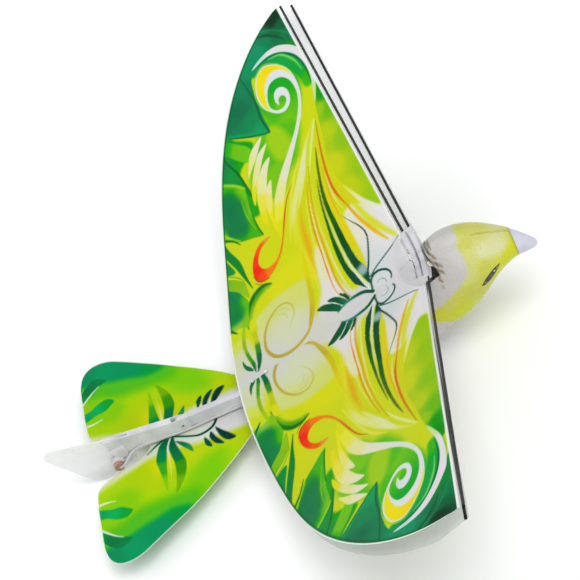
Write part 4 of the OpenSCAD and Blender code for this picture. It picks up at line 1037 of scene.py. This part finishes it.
# Forward position, top, bottom, half width, and how much the section narrows to its top
SECTIONS = np.array([
    (28, 9, -4, 3, 0.3), (40, 14, -5.2, 5, 0.3), (55, 18.5, -6.8, 8, 0.3), (70, 23.5, -8, 11, 0.3),
    (90, 30, -9, 14, 0.3), (110, 37, -8.8, 16.5, 0.25), (125, 43, -7, 18, 0.2),
    (138, 52, -4.2, 18.5, 0.12), (150, 58.5, 0, 18.3, 0.08), (160, 58.5, 6, 17, 0.05),
    (168, 56, 13, 15.2, 0.05), (175, 52, 19, 12.8, 0.05), (181, 47.5, 22.3, 10.6, 0.05),
    (186, 43, 23.8, 8.7, 0.04), (188.5, 40.5, 24, 7.8, 0.04)])
BODY_REAR, BODY_FRONT = SECTIONS[0, 0], SECTIONS[-1, 0]
# How many rings of points the body has, and how many points each half ring
BODY_RINGS, BODY_STEPS = 210, 84


def section_at(length):
    """Top, bottom, half width and narrowing of the body, with the corners between sections eased."""
    length = np.asarray(length, float)
    reach = np.minimum(7, np.minimum(length - BODY_REAR, BODY_FRONT - length))
    steps = np.linspace(-1, 1, 9)
    weights = np.array((1, 3, 6, 8, 9, 8, 6, 3, 1)) / 45
    return [sum(w * np.interp(length + reach * s, SECTIONS[:, 0], SECTIONS[:, i])
                for s, w in zip(steps, weights)) for i in (1, 2, 3, 4)]


def body_surface(length, turn, outset=0.0):
    """Point of the left side of the body. turn runs from -90 degrees at the belly to 90 at the back."""
    top, bottom, wide, narrow = section_at(length)
    turn = np.radians(turn)
    y = (wide + outset) * np.cos(turn) * (1 - narrow * np.sin(turn))
    z = (top + bottom) / 2 + ((top - bottom) / 2 + outset) * np.sin(turn)
    length, y, z = np.broadcast_arrays(length, np.maximum(y, 0.03), z)
    return np.stack([length, y, z], -1)


def split(bm, place, normal):
    """Cuts new edges where a plane crosses a mesh."""
    everything = bm.verts[:] + bm.edges[:] + bm.faces[:]
    bmesh.ops.bisect_plane(bm, geom=everything, plane_co=place, plane_no=normal, dist=1e-7)


def remove_faces(bm, unwanted):
    """Removes the faces whose middle passes a test."""
    chosen = [f for f in bm.faces if unwanted(f.calc_center_median())]
    bmesh.ops.delete(bm, geom=chosen, context="FACES")


def cut_box(bm, low, high):
    """Removes the part of a mesh inside a box, with clean edges."""
    for i in range(3):
        normal = Vector([float(i == j) for j in range(3)])
        for corner in (low, high):
            split(bm, Vector(corner) * MM, normal)
    remove_faces(bm, lambda c: all(a * MM < x < b * MM for a, x, b in zip(low, c, high)))


# Lower edge of the opening that the wing arms move in: (back, rise) from the hinge
OPENING = [(-5.4, 0), (-4.2, -5.4), (5, -5.4), (9, -9.5), (24, -2.96), (140, 11.7)]


def cut_opening(bm):
    """Removes the top of the shell behind the head, where the arms and the films move."""
    split(bm, hinge_points(0, OPENING[0][0], 0), FORWARD)
    for (back, rise), (next_back, next_rise) in zip(OPENING, OPENING[1:]):
        along = (next_back - back) * -FORWARD + (next_rise - rise) * RISE
        split(bm, hinge_points(0, back, rise), np.cross(along, (0, 1, 0)))

    def open_here(c):
        """Whether a point is inside the opening."""
        off = (np.array(c) - HINGE) / MM
        back, rise = -off @ FORWARD, off @ RISE
        return back > OPENING[0][0] and rise > np.interp(back, *zip(*OPENING))

    remove_faces(bm, open_here)


# What shows faintly of the gears through the shell: (forward, up) of both ends of each mark, and
# its colour
GEAR_SHADOWS = [
    ((142.4, 60.6), (143.6, 59.4), (104, 98, 88)), ((141.6, 58.4), (142.8, 57), (132, 124, 106)),
    ((143.4, 56.6), (144.6, 55.2), (120, 112, 90)), ((142, 54.6), (143.2, 53.2), (90, 84, 74)),
    ((143.8, 53), (145.2, 51.6), (140, 128, 100)), ((142.4, 51.2), (143.4, 49.6), (150, 140, 118)),
    ((144.2, 49.8), (145.2, 48.2), (108, 98, 78)), ((145.8, 48.8), (146.8, 47.4), (150, 142, 120)),
    ((143.6, 46.8), (144.6, 45.2), (126, 116, 96)), ((145.6, 45.6), (146.4, 44.2), (134, 122, 92)),
    ((141.8, 44.6), (143.4, 42.8), (116, 72, 44)), ((142.6, 41.8), (143.6, 39.8), (148, 118, 84)),
    ((142.4, 37.6), (143.2, 35.8), (172, 160, 138))]


# How bright the whole shell is, as a share of its inks
SHELL_TONE = 0.965


def paint_shell(length, height, right_side, across):
    """Sprayed yellow-green face and belly on a cloudy white shell, with a painted highlight on the head."""
    p = Print(length, height, (201, 198, 194))
    p.shape([(40, -12), (120, -12), (130, 14), (128, 24), (110, 34), (40, 30)],
            [(60, 5, 206, 206, 204), (120, 10, 200, 196, 192)], 5)
    p.shape([(136, 24), (150, 30), (156, 42), (150, 52), (140, 48)], (196, 190, 188), 5, cover=0.7)
    # Yellow-green face paint, shading into a painted highlight that is paler round forward 171 to 180, up
    # 43 to 46
    p.shape([(161, 75), (160.6, 57), (158.4, 54), (159.6, 48), (159.2, 42), (155.6, 35.6), (147.4, 30.6),
             (140, 26.5), (132.9, 24), (118, 20), (106, 15), (118, 16), (128, 17), (134, 13.6), (141, 7.4),
             (146, -4), (170, -12), (215, 15), (215, 75)],
            [(163, 55, 202, 202, 96), (172, 52, 208, 206, 104), (171, 46, 216, 217, 150),
             (180, 43, 214, 214, 146), (161, 44, 206, 208, 116), (160, 38, 206, 209, 122),
             (168, 37, 200, 202, 76), (185, 34, 204, 208, 20), (179, 28, 204, 210, 10),
             (166, 28, 196, 198, 74), (156, 24, 196, 197, 76), (146, 15, 202, 208, 10),
             (153, 9, 198, 212, 10), (134, 20, 202, 202, 60), (142, 24, 198, 198, 92)], 3, steps=3)
    # Painted highlight: a soft pale patch on the upper head
    p.shape([(168, 50), (176, 48), (184, 42), (183, 38), (176, 38.6), (168, 43)], (218, 218, 184), 6,
            cover=0.45)
    p.colour *= SHELL_TONE
    for start, end, ink in GEAR_SHADOWS:
        p.stroke([start, end], [1.2, 1.9, 1.1], ink, 0.8, cover=0.95)
    if right_side:
        seam = Print(length, across, (0, 0, 0))
        away, _ = seam.distance(seam.at, np.array([(168, 5.4), (179, 3.4), (187.6, 0.6)]))
        on_back = height.ravel() > 38
        line = (1 - ramp(away, 0.2, 0.55)) * on_back * 0.35
        p.wash(line, (128, 120, 50))
    beak_joint = ramp(length.ravel(), 187.2, 187.9)
    p.wash(beak_joint * 0.3, (120, 122, 70))
    white = ((p.colour[:, 2] > 150) & (length.ravel() < 162)).astype(float)
    return p.colour, 1 - 0.02 * white


# Openings in the body, as the low and high corners of boxes
HATCHES = [((64.6, -2.4, -14), (75.4, 2.4, -4)), ((80.8, -2.7, -14), (87.2, 2.7, -4))]
LEAD_EXIT = ((20, -10, -1.4), (44, -2.1, 1.8))
WALL = 0.8


def add_shell(side, word, material, inside):
    """Half of the hollow body, with its wall grown inward."""
    length = np.linspace(BODY_REAR, BODY_FRONT, BODY_RINGS)[:, None]
    turn = np.linspace(-90, 90, BODY_STEPS)[None, :]
    points = body_surface(length, turn)
    colour, alpha = paint_shell(points[..., 0], points[..., 2], side < 0, points[..., 1])
    faces = [f[::side] for f in grid_faces(BODY_RINGS, BODY_STEPS)]
    piece = add_mesh(f"body_shell_{word}", points * (MM, side * MM, MM), faces, material)
    piece.data.materials.append(inside)
    store_colour(piece, "paint", colour, alpha)
    bm = bmesh.new()
    bm.from_mesh(piece.data)
    cut_opening(bm)
    for low, high in HATCHES:
        cut_box(bm, low, high)
    if side < 0:
        cut_box(bm, *LEAD_EXIT)
    bm.to_mesh(piece.data)
    bm.free()
    wall = piece.modifiers.new("wall", "SOLIDIFY")
    wall.thickness = WALL * MM
    wall.offset = -1
    wall.material_offset = 1
    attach(piece, "frame")
    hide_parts(f"shell_{word}")


# Forward position, top, bottom and half width of the beak
BEAK_RINGS = np.array([
    (188.5, 40.2, 23.4, 7.5), (192, 36.8, 22.7, 5.9), (196, 32, 22.2, 3.9), (199, 28.2, 22.7, 2.1),
    (200, 26.6, 23.7, 0.9), (200.2, 25.3, 25.1, 0.1)])


def add_beak(material):
    """Solid beak, closed with one face at its base."""
    columns = 40
    fine = curve(BEAK_RINGS, steps=7)
    turn = np.linspace(0, 2 * math.pi, columns, endpoint=False)[None, :]
    x, top, bottom, wide = (fine[:, i:i + 1] for i in range(4))
    x = np.minimum(x, BEAK_RINGS[-1, 0])
    y = wide * np.sign(np.cos(turn)) * np.abs(np.cos(turn)) ** 1.05
    z = (top + bottom) / 2 + (top - bottom) / 2 * np.sin(turn)
    x, y, z = np.broadcast_arrays(x, y, z)
    faces = grid_faces(len(fine), columns, closed=True) + [list(range(columns))]
    outward = [f[::-1] for f in faces]
    piece = add_mesh("beak_cap", np.stack([x, y, z], -1) * MM, outward, material)
    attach(piece, "frame")
    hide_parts("beak")


# Upper and lower lid of the eye: (forward position, turn round the body in degrees)
UPPER_LID = [(162.3, -18.5), (165, -14.4), (169, -11.4), (173, -9.4), (176.6, -10)]
LOWER_LID = [(162.3, -18.5), (165, -23.4), (169, -25.6), (173, -21.6), (176.6, -10)]


def add_eye(side, word, material):
    """Eye sticker that follows the body, just proud of it."""
    rows, columns, proud = 70, 40, 0.12
    length = np.linspace(UPPER_LID[0][0], UPPER_LID[-1][0], rows)[:, None]
    low = edge_at(LOWER_LID, length)
    high = np.maximum(edge_at(UPPER_LID, length), low + 0.1)
    share = np.linspace(0, 1, columns)[None, :]
    turn = low + share * (high - low)
    length = np.broadcast_to(length, turn.shape)
    faces = [f[::side] for f in grid_faces(rows, columns)]
    points = body_surface(length, turn, proud) * (MM, side * MM, MM)
    piece = add_mesh(f"eye_{word}", points, faces, material)
    p = Print(length, turn * 0.25, (34, 34, 18))
    p.shape([(164.2, -4.7), (166.5, -4.1), (170, -3.4), (173.6, -2.9), (175.2, -3), (172.8, -4.9),
             (169, -5.8), (165.8, -5.4)], (140, 142, 70), 0.4)
    p.shape([(165.8, -4.3), (169.6, -3.3), (173, -2.9), (173.4, -4.2), (171, -5.5), (168, -5.9),
             (165.6, -5.1)], (24, 24, 14), 0.4)
    p.shape([(168.2, -4.6), (170, -4.1), (171.4, -4.3), (170.8, -5), (169, -5.2)],
            [(169, -5, 96, 96, 84), (171, -4, 60, 60, 52)], 0.5)
    # Painted highlight: a small pale glint on the eye
    p.shape([(171.4, -3.6), (172.5, -3.5), (172.6, -4.1), (171.6, -4.2)], (226, 226, 214), 0.3)
    store_colour(piece, "print", p.colour)
    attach(piece, "frame")


# Forward, up, length, height and depth of each component on the circuit board
COMPONENTS = [(72, 2, 6, 6, 1.2), (81, 6, 4, 5, 1), (66, 8, 3, 2, 0.9), (76, 11, 2, 3, 1.4),
              (84, 15, 3.4, 3.4, 1.8), (68, -2, 2.4, 1.4, 0.8), (86, 0, 2.2, 4, 1)]


def add_board_parts(material):
    """Chips and capacitors on the left face of the circuit board."""
    _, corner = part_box("circuit_board")
    bm = bmesh.new()
    for x, z, long, tall, deep in COMPONENTS:
        made = bmesh.ops.create_cube(bm, size=MM)
        for v in made["verts"]:
            out = corner.y + (v.co.y + 0.5 * MM) * deep
            v.co = Vector((x * MM + v.co.x * long, out, z * MM + v.co.z * tall))
    bmesh.ops.bevel(bm, geom=bm.edges[:], offset=0.2 * MM, segments=2, affect="EDGES")
    mesh = bpy.data.meshes.new("board_components")
    bm.to_mesh(mesh)
    bm.free()
    mesh.materials.append(material)
    piece = bpy.data.objects.new("board_components", mesh)
    bpy.context.scene.collection.objects.link(piece)
    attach(piece, "frame")


# ---------- Tail leads ----------

# Middle of the lower lead, from the circuit board to the tail motor
LEAD_ROUTE = [
    (65, 1.65, 3), (60, 1.2, 2.8), (54, -0.4, 2.2), (47, -2, 1.2), (40, -2.5, 0.4), (30, -2.5, -0.6),
    (20, -2.4, -1), (8, -2.4, -1.4), (-4, -2.4, -1.6), (-14, -2.45, -1.7), (-19, -2.6, -1.8),
    (-26, -2.7, -1.7), (-33, -2.65, -1.4), (-38, -2.6, -0.8), (-46, -2.6, -0.2), (-54, -2.65, 0.6),
    (-60, -3.2, 0.3), (-64, -5.4, -0.8), (-67, -7.6, -2), (-70, -8.6, -2.9), (-71.4, -8.6, -3.2)]
LEAD_RADIUS = 0.35
LEAD_GAP = 0.8


def add_lead(name, lift, material, replaced):
    """One of the pair of thin leads, which run side by side, one lift above the other."""
    columns = 12
    path = (curve(LEAD_ROUTE, steps=5) + (0, 0, lift)) * MM
    ahead = np.gradient(path, axis=0)
    ahead /= np.linalg.norm(ahead, axis=1)[:, None]
    across = np.cross(ahead, (0, 0, 1.0))
    across /= np.linalg.norm(across, axis=1)[:, None]
    over = np.cross(across, ahead)
    turn = np.linspace(0, 2 * math.pi, columns, endpoint=False)[None, :, None]
    outward = np.cos(turn) * across[:, None] + np.sin(turn) * over[:, None]
    rings = path[:, None] + LEAD_RADIUS * MM * outward
    first = np.arange(columns)
    last = first + (len(path) - 1) * columns
    ends = [first.tolist(), last[::-1].tolist()]
    piece = add_mesh(name, rings, grid_faces(len(path), columns, closed=True) + ends, material)
    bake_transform(piece)
    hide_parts(*replaced)


# ---------- Finishes of the CAD nodes ----------

def finish_nodes():
    """Gives every CAD node that still shows its own finish."""
    white = moulded("white_plastic", (206, 204, 206), (232, 230, 234))
    keel = moulded("keel_plastic", (196, 196, 202), (226, 224, 230), 0.46, 2, 0.08)
    steel = metal("steel", (150, 152, 156), (204, 206, 210))
    motor = metal("motor_can", (170, 172, 176), (214, 216, 218), 0.3, (0.1, 1, 1))
    clear = moulded("clear_plastic", (206, 205, 212), (228, 227, 233), 0.26, 1.6, 0.04, Alpha=0.78)
    brass = metal("brass", (176, 118, 44), (222, 164, 76), 0.32, (1, 1, 1))
    gear = moulded("gear_plastic", (210, 202, 180), (234, 228, 208), 0.4, 0.8)
    fin = moulded("fin_plastic", (244, 244, 245), (251, 251, 252), 0.3, 4, 0.04, Alpha=0.8)
    coil = metal("tail_motor_can", (214, 160, 140), (240, 200, 184), 0.35, (1, 1, 1))
    rods = carbon_rod()
    groups = {
        white: ("gearbox_rear_plate", "gearbox_front_plate", "gearbox_posts", "charge_socket",
                "switch_slider", "tail_motor_clip", "film_root_pins", "tail_film_studs_front",
                "tail_film_studs_rear"),
        keel: ("keel", "tail_boom"),
        steel: ("gearbox_screws", "hinge_shaft", "crank_axle", "middle_gear_shaft", "arm_a_crank_pin",
                "arm_b_crank_pin", "motor_shaft", "tail_hinge_pin", "tail_rotor_shaft"),
        motor: ("drive_motor",),
        coil: ("tail_motor",),
        clear: ("wing_arm_a", "wing_arm_b", "tail_rotor"),
        brass: ("crank_pin", "motor_pinion"),
        gear: ("crank_gear", "middle_gear", "conrod_a", "conrod_b"),
        fin: ("tail_fin",),
        rods: ("rod_upper_left", "rod_upper_right", "rod_lower_left", "rod_lower_right"),
        battery_wrap(): ("battery",),
        open_cell_foam(): ("battery_pad",),
        board_lacquer(): ("circuit_board",),
        moulded("black_plastic", (22, 22, 24), (48, 48, 52)): ("switch_housing",),
    }
    for finish, names in groups.items():
        for name in names:
            slots = frame["nodes"][name].data.materials
            slots.clear()
            slots.append(finish)


def add_floor():
    """Wide plain floor just under the object."""
    low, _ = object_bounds()
    size, level = 3.0, low.z - 0.5 * MM
    corners = [(-size, -size, level), (size, -size, level), (size, size, level), (-size, size, level)]
    floor = add_mesh("floor", corners, [[0, 1, 2, 3]], floor_paper(), smooth=False)


add_camera()
grey_skin = lead_skin("grey_lead", (186, 184, 188), (208, 206, 210))
add_lead("lead_lower", 0, grey_skin, ["tail_leads_front"])
white_skin = lead_skin("white_lead", (206, 204, 206), (228, 226, 228))
add_lead("lead_upper", LEAD_GAP, white_skin, ["tail_leads_rear"])
finish_nodes()
add_wings()
add_tail_film(printed_film())
for side, word in ((1, "left"), (-1, "right")):
    inside = moulded(f"shell_inside_{word}", (214, 211, 206), (232, 230, 226))
    add_shell(side, word, shell_paint_and_highlight(), inside)
    add_eye(side, word, eye_decal())
add_beak(moulded("beak_paint", (190, 190, 204), (210, 210, 222), 0.4, 2))
add_board_parts(moulded("component_black", (26, 26, 28), (60, 60, 64), 0.5))
add_lights()
add_floor()
